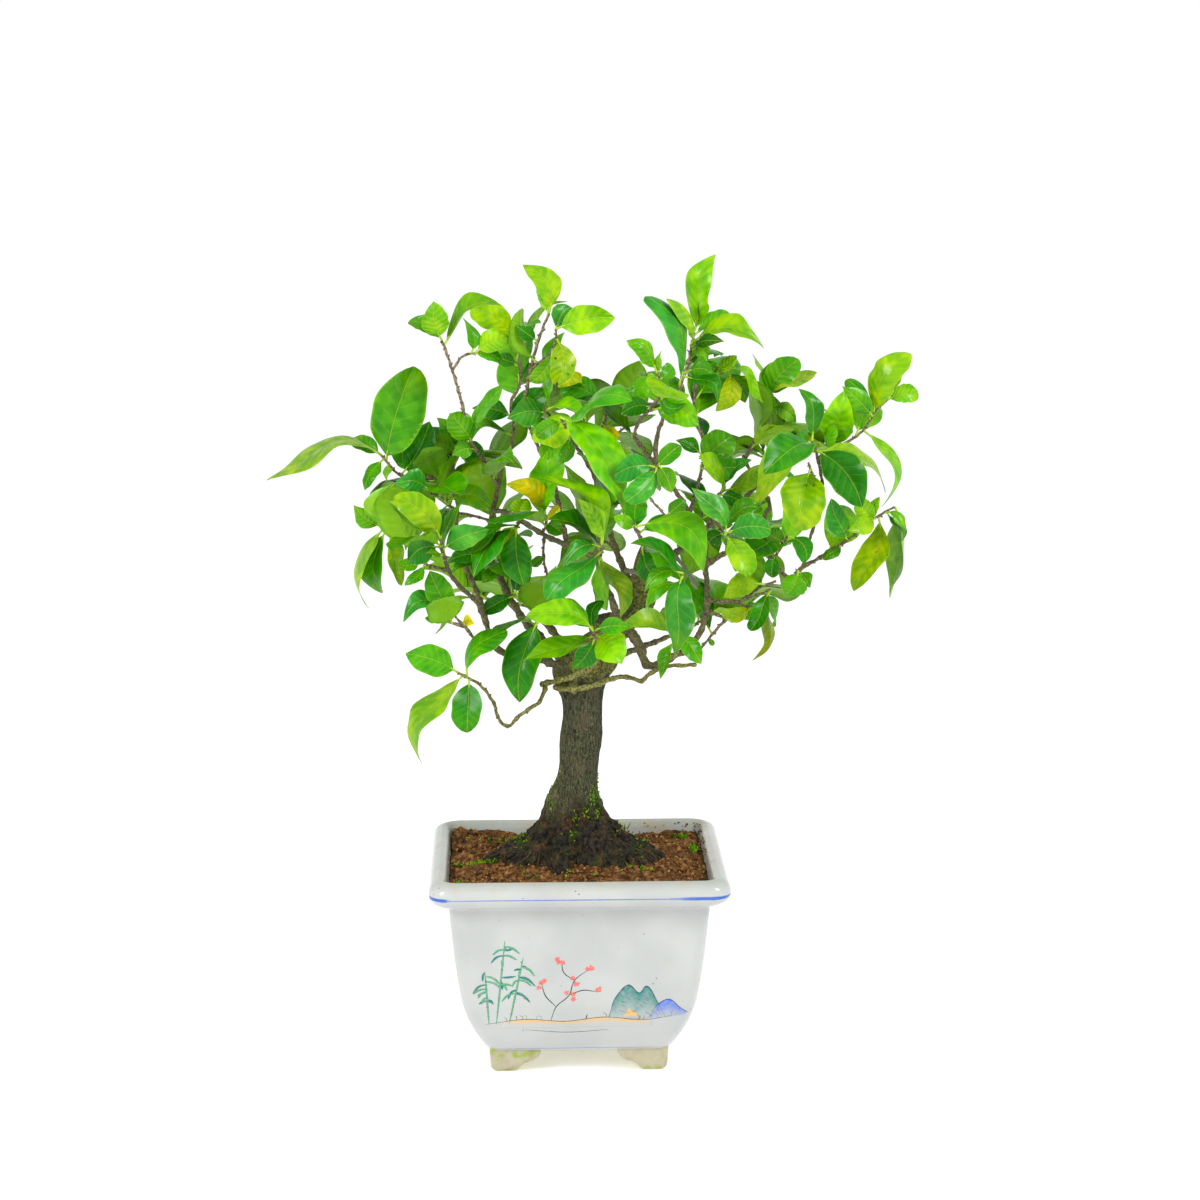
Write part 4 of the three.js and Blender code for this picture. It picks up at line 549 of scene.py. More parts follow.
# The crown's outline and the gaps in it, as seen. Spare leaves stay inside the outline and
# clear of the gaps, each of which is a circle: middle (across, up) and radius.
CROWN_OUTLINE = [
    (-96, 245), (-120, 262), (-122, 300), (-118, 330), (-128, 350), (-90, 385), (-78, 425),
    (-45, 424), (-28, 444), (-5, 428), (22, 416), (36, 404), (60, 430), (76, 446), (100, 402),
    (128, 390), (150, 378), (180, 396), (184, 375), (162, 352), (174, 330), (186, 300),
    (176, 262), (160, 268), (130, 268), (112, 250), (96, 238), (66, 232), (30, 240), (-20, 236),
    (-60, 240),
]
SKY_GAPS = [
    (-52, 226, 8), (-92, 240, 7), (-93, 272, 5), (-46, 262, 6), (-22, 281, 6), (-25, 268, 4),
    (-19, 292, 5), (-52, 318, 4), (-27, 330, 3), (3, 266, 4), (30, 262, 3), (76, 278, 5),
    (84, 274, 5), (138, 272, 11), (143, 262, 12), (128, 318, 2), (132, 298, 4), (120, 372, 8),
    (145, 335, 3), (154, 340, 6), (4, 395, 12), (16, 394, 10), (30, 412, 9), (98, 386, 5),
    (80, 362, 6), (92, 360, 6), (-100, 362, 8), (-108, 372, 10), (164, 335, 5), (118, 280, 3),
    (60, 245, 3), (84, 238, 8), (122, 255, 9), (-52, 376, 5), (-52, 410, 5),
]

# How wide a blade is along it, from the end of the stalk to the tip, for each leaf shape
BLADES = {
    "oval": [
        (0, 0.06), (0.04, 0.23), (0.1, 0.48), (0.2, 0.77), (0.32, 0.95), (0.44, 1), (0.58, 0.97),
        (0.7, 0.86), (0.81, 0.67), (0.9, 0.43), (0.96, 0.2), (1, 0.02)],
    "blunt": [
        (0, 0.06), (0.04, 0.18), (0.1, 0.38), (0.2, 0.65), (0.32, 0.86), (0.46, 0.98), (0.6, 1),
        (0.73, 0.95), (0.85, 0.79), (0.93, 0.56), (0.98, 0.3), (1, 0.06)],
    "round": [
        (0, 0.06), (0.04, 0.26), (0.1, 0.52), (0.2, 0.79), (0.32, 0.95), (0.46, 1), (0.6, 1),
        (0.73, 0.93), (0.84, 0.78), (0.93, 0.53), (0.98, 0.28), (1, 0.07)],
    "drawn": [
        (0, 0.06), (0.05, 0.2), (0.12, 0.45), (0.22, 0.74), (0.33, 0.94), (0.44, 1), (0.56, 0.94),
        (0.67, 0.76), (0.77, 0.52), (0.86, 0.31), (0.94, 0.14), (1, 0.02)],
}
COMMON_SHAPES = ("oval", "blunt", "oval", "drawn")

# A leaf's own sizes: lengths in millimetres, and shares of its length or width
STALK_LENGTH = 3.2
STALK_RADIUS = 0.55
LEAF_FULLNESS = 1.05
LEAF_THICKNESS = 0.32
MIDRIB_DEPTH = 0.45
GROOVE_DEPTH = 0.25
PILLOW_HEIGHT = 0.1
EDGE_WAVE = 0.035
BLADE_WAVE = 0.022
VEIN_PAIRS = 7
VEIN_SLANT = 0.2


def rgb(red, green, blue):
    """A colour for a shader from its usual 0 to 255 values."""
    shares = np.array([red, green, blue]) / 255
    return np.where(shares < 0.04045, shares / 12.92, ((shares + 0.055) / 1.055) ** 2.4)


# Leaf tones: upper side, and how strongly black spots show. The blue tone is a bluer green that stands for
# a bluish sheen on the glossy leaves that carry it: painted sheen.
TONES = {
    "lime": (rgb(148, 196, 0), 0), "light": (rgb(116, 182, 0), 0), "mid": (rgb(86, 162, 0), 0),
    "dark": (rgb(44, 132, 0), 0), "deep": (rgb(18, 98, 0), 0), "blue": (rgb(64, 154, 36), 0),
    "pale": (rgb(150, 192, 36), 0), "yellow": (rgb(242, 212, 0), 0.4),
    "olive": (rgb(158, 176, 0), 0.5), "spotted": (rgb(166, 192, 0), 1),
}
SPARE_TONES = ("dark", "mid", "light", "dark", "mid", "deep", "lime", "mid")

# Moss: its greens; where it grows on the trunk's base (across, up, how wide); and where it
# grows on the soil (middle, half size along X and Y, how many tufts)
MOSS_GREENS = (rgb(104, 170, 8), rgb(148, 200, 24), rgb(66, 116, 12))
MOSS_SPOTS = [
    (-21, 150, 2), (-15, 150, 1.6), (13, 162, 1.6), (9, 152, 2.2), (4, 144, 1.6), (11, 143, 2),
    (-2, 142, 1.4), (-32, 129, 2.5), (38, 128, 3), (-3, 132, 1.4), (24, 136, 1.6),
]
MOSS_PATCHES = [
    (-56, -8, 12, 2.5, 44), (-66, -44, 3, 6, 20), (34, -24, 10, 5, 10), (62, 44, 6, 5, 16),
    (67, 20, 2, 10, 24), (-40, 34, 16, 8, 12), (0, -34, 40, 4, 8),
]
GRASS_PLACE = (27.3, 131, 10)

# Baked clay: its browns, with the share of each, how far apart the crumbs of the bed are, and
# how many lie loose on it and on the pot's inner wall
CLAY = (rgb(156, 110, 62), rgb(128, 88, 48), rgb(182, 134, 84), rgb(98, 66, 36), rgb(144, 98, 56),
        rgb(70, 50, 30))
CLAY_SHARES = (0.27, 0.26, 0.15, 0.14, 0.14, 0.04)
CRUMB = 3.0
LOOSE_CRUMBS = 2600
STRAY_CRUMBS = 110

# Half the size of the clearings round the trunk that have no loose crumbs and no moss
BARE_OF_CRUMBS = (40, 26)
BARE_OF_MOSS = (40, 25)

# Paint on the pot's front, and its lines: left and right end, height, width, and strength
INK = rgb(36, 38, 46)
TEAL = rgb(14, 120, 112)
GREEN = rgb(76, 156, 108)
BLUE = rgb(58, 104, 204)
OCHRE = rgb(222, 172, 80)
CORAL = rgb(236, 96, 74)
PAINT_LIFT = 0.09
RIM_LINE = 110.7
POT_LINES = [(-75, 75, RIM_LINE, 0.6, 0.8), (-45, 45, 15, 0.5, 0.5)]
BANK_HEIGHT = 33

# The signs of X and Y in the four quarters, from the back right on to the left
QUARTERS = [(1, 1), (-1, 1), (-1, -1), (1, -1)]


def unit(vectors):
    """Vectors at length 1."""
    return vectors / np.linalg.norm(vectors, axis=-1, keepdims=True)


def full_turn(count):
    """Turns evenly spaced all the way round."""
    return np.arange(count) / count * TURN


def place_seen(places):
    """The true places of points that are given as they are seen: across, up and depth."""
    across, up, depth = np.asarray(places, float).T
    reach = 1 - depth / EYE[1]
    x = EYE[0] + (across - EYE[0]) * reach
    return np.stack([x, depth, EYE[2] + (up - EYE[2]) * reach], axis=-1)


def seen_place(points):
    """How true places are seen: across and up."""
    reach = 1 - points[:, 1] / EYE[1]
    return EYE[0] + (points[:, 0] - EYE[0]) / reach, EYE[2] + (points[:, 2] - EYE[2]) / reach


@dataclass
class Leaf:
    """A leaf's root, its directions, its size and its tone."""

    root: np.ndarray
    axis: np.ndarray
    length: float
    half: float
    side: np.ndarray
    normal: np.ndarray
    bend: np.ndarray
    tone: str = "mid"
    shape: str = ""

    def points(self, along, across, half_width, raised=0.0):
        """Points from root (along 0) to tip (along 1), across from -1 to 1."""
        along, across, half_width, raised = np.broadcast_arrays(along, across, half_width, raised)
        arch = 4 * along * (1 - along)
        lift = self.length * LEAF_ARCH * arch + np.abs(across) * half_width * LEAF_FOLD + raised
        return (self.root + self.axis * (self.length * along)[..., None]
                + self.bend * arch[..., None] + self.normal * lift[..., None]
                + self.side * (across * half_width)[..., None])


def bud_places(twigs):
    """The places on a spray's twigs where leaves can grow, a little way apart."""
    buds = []
    for _, route in twigs:
        for start, end in zip(route, route[1:]):
            steps = math.ceil(math.dist(start, end) / LEAF_SPACING)
            along = unit(np.diff(place_seen([start, end]), axis=0)[0])
            for step in range(1, steps + 1):
                spot = np.array(start) + (np.array(end) - np.array(start)) * step / steps
                buds.append({"spot": spot, "along": along, "free": True})
    return buds


def take_bud(buds, across, up):
    """The free bud that looks nearest to a given place. It isn't free any more after this."""
    best, best_distance = None, math.inf
    for bud in buds:
        distance = math.hypot(bud["spot"][0] - across, bud["spot"][1] - up)
        if bud["free"] and distance < best_distance - 1e-6:
            best, best_distance = bud, distance
    best["free"] = False
    return best


def leaf_as_seen(bud, row, slide=0):
    """A leaf that is given as it is seen, turned until it looks as wide as it should."""
    _, _, tip_across, tip_up, wide, bow, lean, *looks = row
    root, tip = place_seen([bud["spot"], (tip_across, tip_up, bud["spot"][2] + lean + slide)])
    length = math.dist(root, tip)
    axis = (tip - root) / length
    left = unit(np.cross(axis, root - EYE))
    face = np.cross(axis, left)
    width = max(wide, LEAF_SLENDERNESS * length)
    turn = math.acos(wide / width) * (-1 if left[2] > 0 else 1)
    side = left * math.cos(turn) + face * math.sin(turn)
    normal = face * math.cos(turn) - left * math.sin(turn)
    return Leaf(root, axis, length, width / 2, side, normal, left * bow, *looks)


def leaf_by_rule(bud, numbers, count):
    """A spare leaf that grows from a bud by the plant's own rule."""
    root = place_seen([bud["spot"]])[0]
    first = unit(np.cross(bud["along"], np.array([0.2, 0.9, 0.3])))
    second = np.cross(bud["along"], first)
    turn = count * GOLDEN_TURN
    axis = unit(bud["along"] * 0.65 + first * math.cos(turn) + second * math.sin(turn) + UP * 0.1)
    length = SPARE_LENGTH[0] + (SPARE_LENGTH[1] - SPARE_LENGTH[0]) * next(numbers)
    normal = unit(root * (1, 1, 0)) * 0.5 + UP
    normal = unit(normal - axis * normal.dot(axis))
    width = length * (SPARE_WIDTH[0] + (SPARE_WIDTH[1] - SPARE_WIDTH[0]) * next(numbers))
    tone = SPARE_TONES[count % len(SPARE_TONES)]
    return Leaf(root, axis, length, width / 2, np.cross(normal, axis), normal, normal * 2, tone)


def leaf_sheet(leaf):
    """The leaf as a thin sheet, for finding out what it would cross."""
    along, share = np.array([(0.15, 0.45), (0.4, 0.95), (0.7, 0.85), (1, 0)]).T
    rows = leaf.points(along[:, None], np.array([1, 0, -1]), leaf.half * share[:, None])
    near, far = rows[:-1], rows[1:]
    lower = np.stack([near[:, :-1], near[:, 1:], far[:, 1:]], axis=2)
    upper = np.stack([near[:, :-1], far[:, 1:], far[:, :-1]], axis=2)
    return {"points": rows.reshape(-1, 3), "lines": np.stack([near, far], axis=2).reshape(-1, 2, 3),
            "triangles": np.concatenate([lower, upper]).reshape(-1, 3, 3),
            "middle": leaf.points(0.55, 0, 0), "reach": leaf.length * 0.6}


def any_pass(lines, triangles):
    """Whether any of the lines passes through any of the triangles."""
    start, run = lines[:, None, 0], lines[:, None, 1] - lines[:, None, 0]
    corner = triangles[:, 0]
    edge1, edge2 = triangles[:, 1] - corner, triangles[:, 2] - corner
    cross1 = np.cross(run, edge2)
    offset = start - corner
    cross2 = np.cross(offset, edge1)
    scale = (edge1 * cross1).sum(-1)
    safe = np.where(np.abs(scale) < 1e-9, np.inf, scale)
    u = (offset * cross1).sum(-1) / safe
    v = (run * cross2).sum(-1) / safe
    along = (edge2 * cross2).sum(-1) / safe
    hit = (u >= 0) & (v >= 0) & (u + v <= 1) & (along >= 0) & (along <= 1)
    return bool((hit & (np.abs(scale) >= 1e-9)).any())


def keeps_outline(sheet):
    """Whether a spare leaf keeps inside the crown's outline and out of the gaps in it."""
    for across, up in zip(*seen_place(sheet["points"])):
        if any(math.hypot(across - x, up - y) < radius for x, y, radius in SKY_GAPS):
            return False
        inside = False
        for (x1, y1), (x2, y2) in zip(CROWN_OUTLINE, CROWN_OUTLINE[1:] + CROWN_OUTLINE[:1]):
            if (y1 > up) != (y2 > up) and across < x1 + (up - y1) / (y2 - y1) * (x2 - x1):
                inside = not inside
        if not inside:
            return False
    return True


def keeps_box(sheet):
    """Whether a spare leaf keeps inside the CAD model's box."""
    low, high = (np.array(cad_box) - POT_PLACE) / MM
    return bool((sheet["points"] > low).all() and (sheet["points"] < high).all())


def random_source(state):
    """The same seeded random numbers as in the CAD source."""
    while True:
        state = state * 16807 % 2147483647
        yield state / 2147483647


class Crown:
    """The crown's leaves: where they can grow, and those that have grown on each spray."""

    def __init__(self):
        twigs = [twig for spray in SPRAYS.values() for twig in spray["twigs"]]
        lines = [place_seen(route) for _, route in (*LIMBS.values(), *twigs)]
        self.wood = np.concatenate([np.stack([line[:-1], line[1:]], axis=1) for line in lines])
        self.buds = {name: bud_places(spray["twigs"]) for name, spray in SPRAYS.items()}
        self.leaves = {name: [] for name in SPRAYS}
        self.sheets = []

    def add(self, name, leaf):
        """Keep a leaf on its spray, and clear of later leaves."""
        self.leaves[name].append(leaf)
        self.sheets.append(leaf_sheet(leaf))

    def is_clear(self, sheet):
        """Whether a leaf is clear of the leaves that have grown and of all the wood."""
        near = [other for other in self.sheets
                if math.dist(other["middle"], sheet["middle"]) <= other["reach"] + sheet["reach"]]
        if near:
            lines, triangles = [np.concatenate([other[key] for other in near])
                                for key in ("lines", "triangles")]
            if any_pass(sheet["lines"], triangles) or any_pass(lines, sheet["triangles"]):
                return False
        return not any_pass(self.wood, sheet["triangles"])

    def place_given(self):
        """Place the listed leaves, each slid in depth until it is clear, if it can be."""
        for name, spray in SPRAYS.items():
            for row in spray["leaves"]:
                bud = take_bud(self.buds[name], *row[:2])
                tries = [leaf_as_seen(bud, row, slide) for slide in LEAF_SLIDES]
                self.add(name, next((leaf for leaf in tries if self.is_clear(leaf_sheet(leaf))), tries[0]))

    def grow_spare(self, start, wanted, skip, behind=-math.inf):
        """Grow spare leaves on each spray, where there is room behind an upright plane.

        wanted is how many each spray should have, and skip how many of its buds stay bare.
        """
        numbers = random_source(start)
        for (name, buds), number in zip(self.buds.items(), wanted):
            free = [bud for bud in buds if bud["free"]][skip:]
            made = 0
            for count in range(number * SPARE_TRIES):
                if made == number:
                    break
                bud = free[math.floor(next(numbers) * len(free))]
                leaf = leaf_by_rule(bud, numbers, count)
                sheet = leaf_sheet(leaf)
                if (bud["free"] and sheet["middle"][1] > behind and keeps_outline(sheet)
                        and keeps_box(sheet) and self.is_clear(sheet)):
                    bud["free"] = False
                    self.add(name, leaf)
                    made += 1


def grow_crown():
    """Every leaf of the crown: the listed ones, the CAD's spare ones, and those it hasn't."""
    crown = Crown()
    crown.place_given()
    crown.grow_spare(RANDOM_START, [spray["spare"] for spray in SPRAYS.values()], 2)
    crown.grow_spare(RANDOM_START + 1, [EXTRA_LEAVES] * len(SPRAYS), 1, EXTRA_BEHIND)
    for name, row in INNER_LEAVES:
        crown.add(name, leaf_as_seen(take_bud(crown.buds[name], *row[:2]), row))
    return crown.leaves


@dataclass
class Part:
    """A piece of mesh: points in millimetres, faces, a material's number and named values."""

    points: np.ndarray
    quads: np.ndarray
    triangles: np.ndarray = field(default_factory=lambda: np.zeros((0, 3), int))
    material: int = 0
    values: dict = field(default_factory=dict)

    def give(self, **values):
        """Give each point named values: one row for all points, or a row for each."""
        for name, value in values.items():
            value = np.atleast_1d(np.asarray(value, float))
            rows = value if value.shape[0] == len(self.points) else value[None]
            if rows.ndim == 1:
                rows = rows[:, None]
            self.values[name] = np.broadcast_to(rows, (len(self.points), rows.shape[-1]))
        return self


def ring_quads(count, sides, closed=False):
    """The quads between a row of closed rings, and from the last to the first if it is closed."""
    low = np.arange(count if closed else count - 1)[:, None] * sides
    high = (low + sides) % (count * sides)
    side = np.arange(sides)
    after = (side + 1) % sides
    return np.stack([low + side, low + after, high + after, high + side], axis=-1).reshape(-1, 4)


def loft(rings, start=None, end=None, material=0):
    """A closed part from a row of closed rings, with a point in the middle of each end."""
    count, sides = rings.shape[:2]
    ends = [rings[0].mean(axis=0) if start is None else start,
            rings[-1].mean(axis=0) if end is None else end]
    points = np.concatenate([rings.reshape(-1, 3), ends])
    side = np.arange(sides)
    after = (side + 1) % sides
    top = (count - 1) * sides
    caps = [np.stack([after, side, np.full(sides, count * sides)], axis=-1),
            np.stack([top + side, top + after, np.full(sides, count * sides + 1)], axis=-1)]
    quads, triangles = ring_quads(count, sides), np.concatenate(caps)
    corners = points[np.concatenate([quads[:, :3], quads[:, [0, 2, 3]], triangles])]
    volume = (corners[:, 0] * np.cross(corners[:, 1], corners[:, 2])).sum()
    turned = slice(None, None, -1 if volume < 0 else 1)
    return Part(points, quads[:, turned], triangles[:, turned], material)


def join(parts):
    """The arrays of several parts as one, with each face's material."""
    starts = np.cumsum([0] + [len(part.points) for part in parts])
    quads = np.concatenate([part.quads + start for part, start in zip(parts, starts)])
    triangles = np.concatenate([part.triangles + start for part, start in zip(parts, starts)])
    materials = np.concatenate([np.full(len(part.quads), part.material) for part in parts]
                               + [np.full(len(part.triangles), part.material) for part in parts])
    values = {}
    for name in sorted({name for part in parts for name in part.values}):
        width = next(part.values[name].shape[1] for part in parts if name in part.values)
        rows = [part.values.get(name, np.zeros((len(part.points), width))) for part in parts]
        values[name] = np.concatenate(rows)
    return np.concatenate([part.points for part in parts]), quads, triangles, materials, values


def mesh_from(name, parts):
    """A Blender mesh from parts, in metres."""
    points, quads, triangles, materials, values = join(parts)
    mesh = bpy.data.meshes.new(name)
    mesh.vertices.add(len(points))
    mesh.vertices.foreach_set("co", (points * MM + POT_PLACE).ravel())
    corners = np.concatenate([quads.ravel(), triangles.ravel()])
    mesh.loops.add(len(corners))
    mesh.loops.foreach_set("vertex_index", corners)
    sizes = np.concatenate([np.full(len(quads), 4), np.full(len(triangles), 3)])
    mesh.polygons.add(len(sizes))
    mesh.polygons.foreach_set("loop_start", np.cumsum(sizes) - sizes)
    mesh.polygons.foreach_set("material_index", materials)
    mesh.polygons.foreach_set("use_smooth", np.ones(len(sizes), bool))
    kinds = {1: ("FLOAT", "value"), 3: ("FLOAT_VECTOR", "vector"), 4: ("FLOAT_COLOR", "color")}
    for key, rows in values.items():
        kind, slot = kinds[rows.shape[1]]
        attribute = mesh.attributes.new(key, kind, "POINT")
        attribute.data.foreach_set(slot, rows.ravel())
    mesh.update(calc_edges=True)
    return mesh


def add_object(name, data):
    """An object in the scene."""
    made = bpy.data.objects.new(name, data)
    bpy.context.scene.collection.objects.link(made)
    return made


def piece(name, parts, materials, nodes=()):
    """A visible piece that rides with the plant, stands for CAD nodes and has its materials."""
    made = add_object(name, mesh_from(name, parts))
    for material in materials:
        made.data.materials.append(material)
    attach(made, "root")
    if nodes:
        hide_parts(*nodes)
    return made


def lengths_along(places):
    """How far along a route each of its places is."""
    return np.concatenate([[0], np.cumsum(np.linalg.norm(np.diff(places, axis=0), axis=1))])


def through(keys, values, at):
    """Values on a smooth curve through given values at given keys."""
    keys, values = np.asarray(keys, float), np.asarray(values, float)
    flat = values.reshape(len(keys), -1)
    gaps = np.diff(keys)[:, None]
    runs = np.diff(flat, axis=0) / gaps
    middle = (runs[:-1] * gaps[1:] + runs[1:] * gaps[:-1]) / (gaps[:-1] + gaps[1:])
    slopes = np.concatenate([runs[:1], middle, runs[-1:]])
    index = np.clip(np.searchsorted(keys, at, side="right") - 1, 0, len(keys) - 2)
    gap = gaps[index]
    t = (at - keys[index])[:, None] / gap
    made = ((2 * t**3 - 3 * t**2 + 1) * flat[index] + (t**3 - 2 * t**2 + t) * gap * slopes[index]
            + (3 * t**2 - 2 * t**3) * flat[index + 1] + (t**3 - t**2) * gap * slopes[index + 1])
    return made.reshape((len(at),) + values.shape[1:])


def smooth_route(places, step):
    """Points about a step apart on a smooth curve through places, and their shares of the way."""
    keys = lengths_along(places)
    at = np.linspace(0, keys[-1], max(math.ceil(keys[-1] / step), 3) + 1)
    return through(keys, places, at), at / keys[-1]


def smooth_profile(profile, step):
    """A profile's points about a step apart, with its bends a little rounded."""
    keys = lengths_along(profile)
    at = np.linspace(0, keys[-1], math.ceil(keys[-1] / step) + 1)
    even = np.stack([np.interp(at, keys, column) for column in zip(*profile)], axis=-1)
    for _ in range(3):
        even[1:-1] = (even[:-2] + 2 * even[1:-1] + even[2:]) / 4
    return even


def tube(centres, radii, sides, material=0):
    """A closed tube round a route. radii has a row for each centre, and may have one per side."""
    along = unit(np.gradient(centres, axis=0))
    across = np.array([0.3, 1, 0.2])
    turns = full_turn(sides)
    radii = np.broadcast_to(np.reshape(radii, (len(centres), -1)), (len(centres), sides))
    rings = np.empty((len(centres), sides, 3))
    for index, direction in enumerate(along):
        across = unit(across - direction * across.dot(direction))
        beside = np.cross(direction, across)
        spokes = np.cos(turns)[:, None] * across + np.sin(turns)[:, None] * beside
        rings[index] = centres[index] + spokes * radii[index][:, None]
    start = centres[0] - along[0] * radii[0].mean() * 0.6
    end = centres[-1] + along[-1] * radii[-1].mean() * 0.6
    return loft(rings, start, end, material)


def ripple(points, scale, seed=0.0):
    """Smooth noise from -1 to 1 at points, with features about scale millimetres apart."""
    return np.array([noise.noise(Vector(point)) for point in np.asarray(points) / scale + seed])


def read(items, name, width, kind=float):
    """One property of a mesh's items as rows of numbers."""
    numbers = np.empty(len(items) * (width if kind is float else 1), kind)
    items.foreach_get(name, numbers)
    return numbers.reshape(-1, width)


def melt(parts, voxel, rounds):
    """Closed parts melted into one even mesh by a voxel remesh: points, quads and normals."""
    rough = add_object("melting", mesh_from("melting", parts))
    remesh = rough.modifiers.new("Melt", "REMESH")
    remesh.mode = "VOXEL"
    remesh.voxel_size = voxel * MM
    smooth = rough.modifiers.new("Smooth", "SMOOTH")
    smooth.iterations = rounds
    graph = bpy.context.evaluated_depsgraph_get()
    mesh = bpy.data.meshes.new_from_object(rough.evaluated_get(graph))
    bpy.data.objects.remove(rough)
    points = (read(mesh.vertices, "co", 3) - POT_PLACE) / MM
    return points, read(mesh.loops, "vertex_index", 4, int), read(mesh.vertices, "normal", 3)


class Shader:
    """A Principled material. Each method adds a node and gives back its output."""

    def __init__(self, name, **constants):
        self.material = bpy.data.materials.new(name)
        self.material.use_nodes = True
        self.nodes = self.material.node_tree.nodes
        self.links = self.material.node_tree.links
        self.principled = self.nodes["Principled BSDF"]
        for key, value in constants.items():
            self.principled.inputs[key.replace("_", " ")].default_value = value

    def node(self, kind, inputs, output=0, **settings):
        """A node with its settings and inputs, which are other outputs or plain values."""
        made = self.nodes.new("ShaderNode" + kind)
        for key, value in settings.items():
            setattr(made, key, value)
        for key, value in inputs.items():
            self.feed(made.inputs[key], value)
        return made.outputs[output]

    def feed(self, socket, value):
        """Set a socket to a plain value, or join it to an output."""
        if isinstance(value, bpy.types.NodeSocket):
            self.links.new(value, socket)
        elif np.ndim(value) and len(socket.default_value) == 4:
            socket.default_value = (*value, 1)
        else:
            socket.default_value = value

    def value(self, name, output="Fac"):
        """A value that the mesh carries at its points."""
        return self.node("Attribute", {}, output, attribute_name=name)

    def split(self, name):
        """The three numbers of a vector that the mesh carries."""
        vector = self.value(name, "Vector")
        return [self.node("SeparateXYZ", {0: vector}, index) for index in range(3)]

    def place(self, squeeze=(1, 1, 1)):
        """The place on the plant in millimetres, squeezed along each axis."""
        spot = self.node("TexCoord", {}, "Object")
        scale = [1 / MM / amount for amount in squeeze]
        return self.node("VectorMath", {0: spot, 1: scale}, operation="MULTIPLY")

    def noise(self, scale, detail, roughness=0.5, squeeze=(1, 1, 1)):
        """Noise from 0 to 1, with features about scale millimetres apart."""
        inputs = {"Vector": self.place(squeeze), "Scale": 1 / scale, "Detail": detail,
                  "Roughness": roughness}
        return self.node("TexNoise", inputs, "Fac")

    def math(self, operation, first, second=0.0):
        """One sum."""
        return self.node("Math", {0: first, 1: second}, operation=operation)

    def times(self, first, *others):
        """Values multiplied together."""
        for other in others:
            first = self.math("MULTIPLY", first, other)
        return first

    def plus(self, first, second):
        """Two values added together."""
        return self.math("ADD", first, second)

    def fade(self, value, low, high, start=0.0, end=1.0):
        """A soft step from start to end as a value goes from low to high."""
        inputs = {"Value": value, "From Min": low, "From Max": high, "To Min": start, "To Max": end}
        return self.node("MapRange", inputs, interpolation_type="SMOOTHSTEP")

    def clouds(self, scale, detail, low, high, start=0.0, end=1.0, roughness=0.5):
        """Soft patches about scale millimetres apart: noise that fades between two levels."""
        return self.fade(self.noise(scale, detail, roughness), low, high, start, end)

    def specks(self, scale, solid, gone):
        """Round specks about scale millimetres apart, and how far out they are solid and gone."""
        inputs = {"Vector": self.place(), "Scale": 1 / scale}
        return self.fade(self.node("TexVoronoi", inputs, "Distance"), solid, gone, 1, 0)

    def mix(self, share, first, second, blend="MIX"):
        """Two colours mixed."""
        return self.node("Mix", {0: share, 6: first, 7: second}, 2, data_type="RGBA",
                         blend_type=blend)

    def layers(self, color, *layers):
        """A colour with others over it, each as its share, its colour and how it blends."""
        for layer in layers:
            color = self.mix(layer[0], color, *layer[1:])
        return color

    def finish(self, color, roughness, *bumps):
        """Join the colour, the roughness and the bumps (height, depth in millimetres)."""
        self.feed(self.principled.inputs["Base Color"], color)
        self.feed(self.principled.inputs["Roughness"], roughness)
        below = {}
        for height, depth in bumps:
            inputs = {"Height": height, "Distance": depth * MM, "Strength": 1.0}
            below = {"Normal": self.node("Bump", inputs | below)}
        if below:
            self.feed(self.principled.inputs["Normal"], below["Normal"])
        return self.material


def leaf_material():
    """Waxy leaf: mottled green with a thin pale midrib, faint side veins, painted shade between the side
    veins and a paler underside.
    """
    shader = Shader("leaf", Coat_Weight=0.26, Coat_Roughness=0.18, Specular_IOR_Level=0.05)
    along, across, off_midrib = shader.split("leaf")
    under, spots, seed = shader.split("kind")
    tone = shader.value("tone", "Color")
    spread = shader.math("ABSOLUTE", across)
    slant = shader.math("SUBTRACT", along, shader.times(spread, VEIN_SLANT))
    vein = shader.math("PINGPONG", shader.plus(shader.times(slant, VEIN_PAIRS), seed), 0.5)
    veins = shader.times(shader.fade(vein, 0.0, 0.06, 1, 0), shader.fade(spread, 0.5, 0.95, 1, 0))
    # Painted shade: the blade is darker between its side veins, in patches, as its quilted surface would
    # be shaded.
    between = shader.times(shader.fade(vein, 0.05, 0.4), shader.clouds(15, 2, 0.38, 0.62, 0, 0.6))
    midrib = shader.fade(off_midrib, 0.1, 0.38, 1, 0)
    sunny = shader.mix(0.5, tone, rgb(196, 214, 10))
    specks = shader.times(shader.specks(4.5, 0.16, 0.26), shader.clouds(12, 2, 0.5, 0.6), spots)
    color = shader.layers(
        tone,
        (shader.clouds(8, 3, 0.36, 0.64, 1, 0), (0.52, 0.74, 0.8), "MULTIPLY"),
        (shader.clouds(17, 1, 0.42, 0.6, 0, 0.6), (0.6, 0.84, 0.9), "MULTIPLY"),
        (shader.clouds(22, 2, 0.5, 0.78, 0, 0.2), sunny),
        (between, (0.6, 0.8, 0.8), "MULTIPLY"),
        (shader.times(veins, 0.12), rgb(176, 210, 40)),
        (shader.times(under, 0.6), rgb(148, 198, 40)),
        (shader.times(midrib, 0.36), rgb(186, 212, 60)),
        (shader.fade(spread, 0.9, 1.0, 0, 0.35), rgb(160, 200, 40)),
        (specks, rgb(40, 32, 14)))
    gloss = shader.clouds(7, 2, 0.35, 0.65, 0.26, 0.42)
    roughness = shader.plus(gloss, shader.times(under, 0.22))
    pillows = shader.math("SUBTRACT", shader.fade(vein, 0.0, 0.45), shader.times(midrib, 1.2))
    return shader.finish(color, roughness, (pillows, 0.2), (shader.noise(0.8, 2), 0.04))


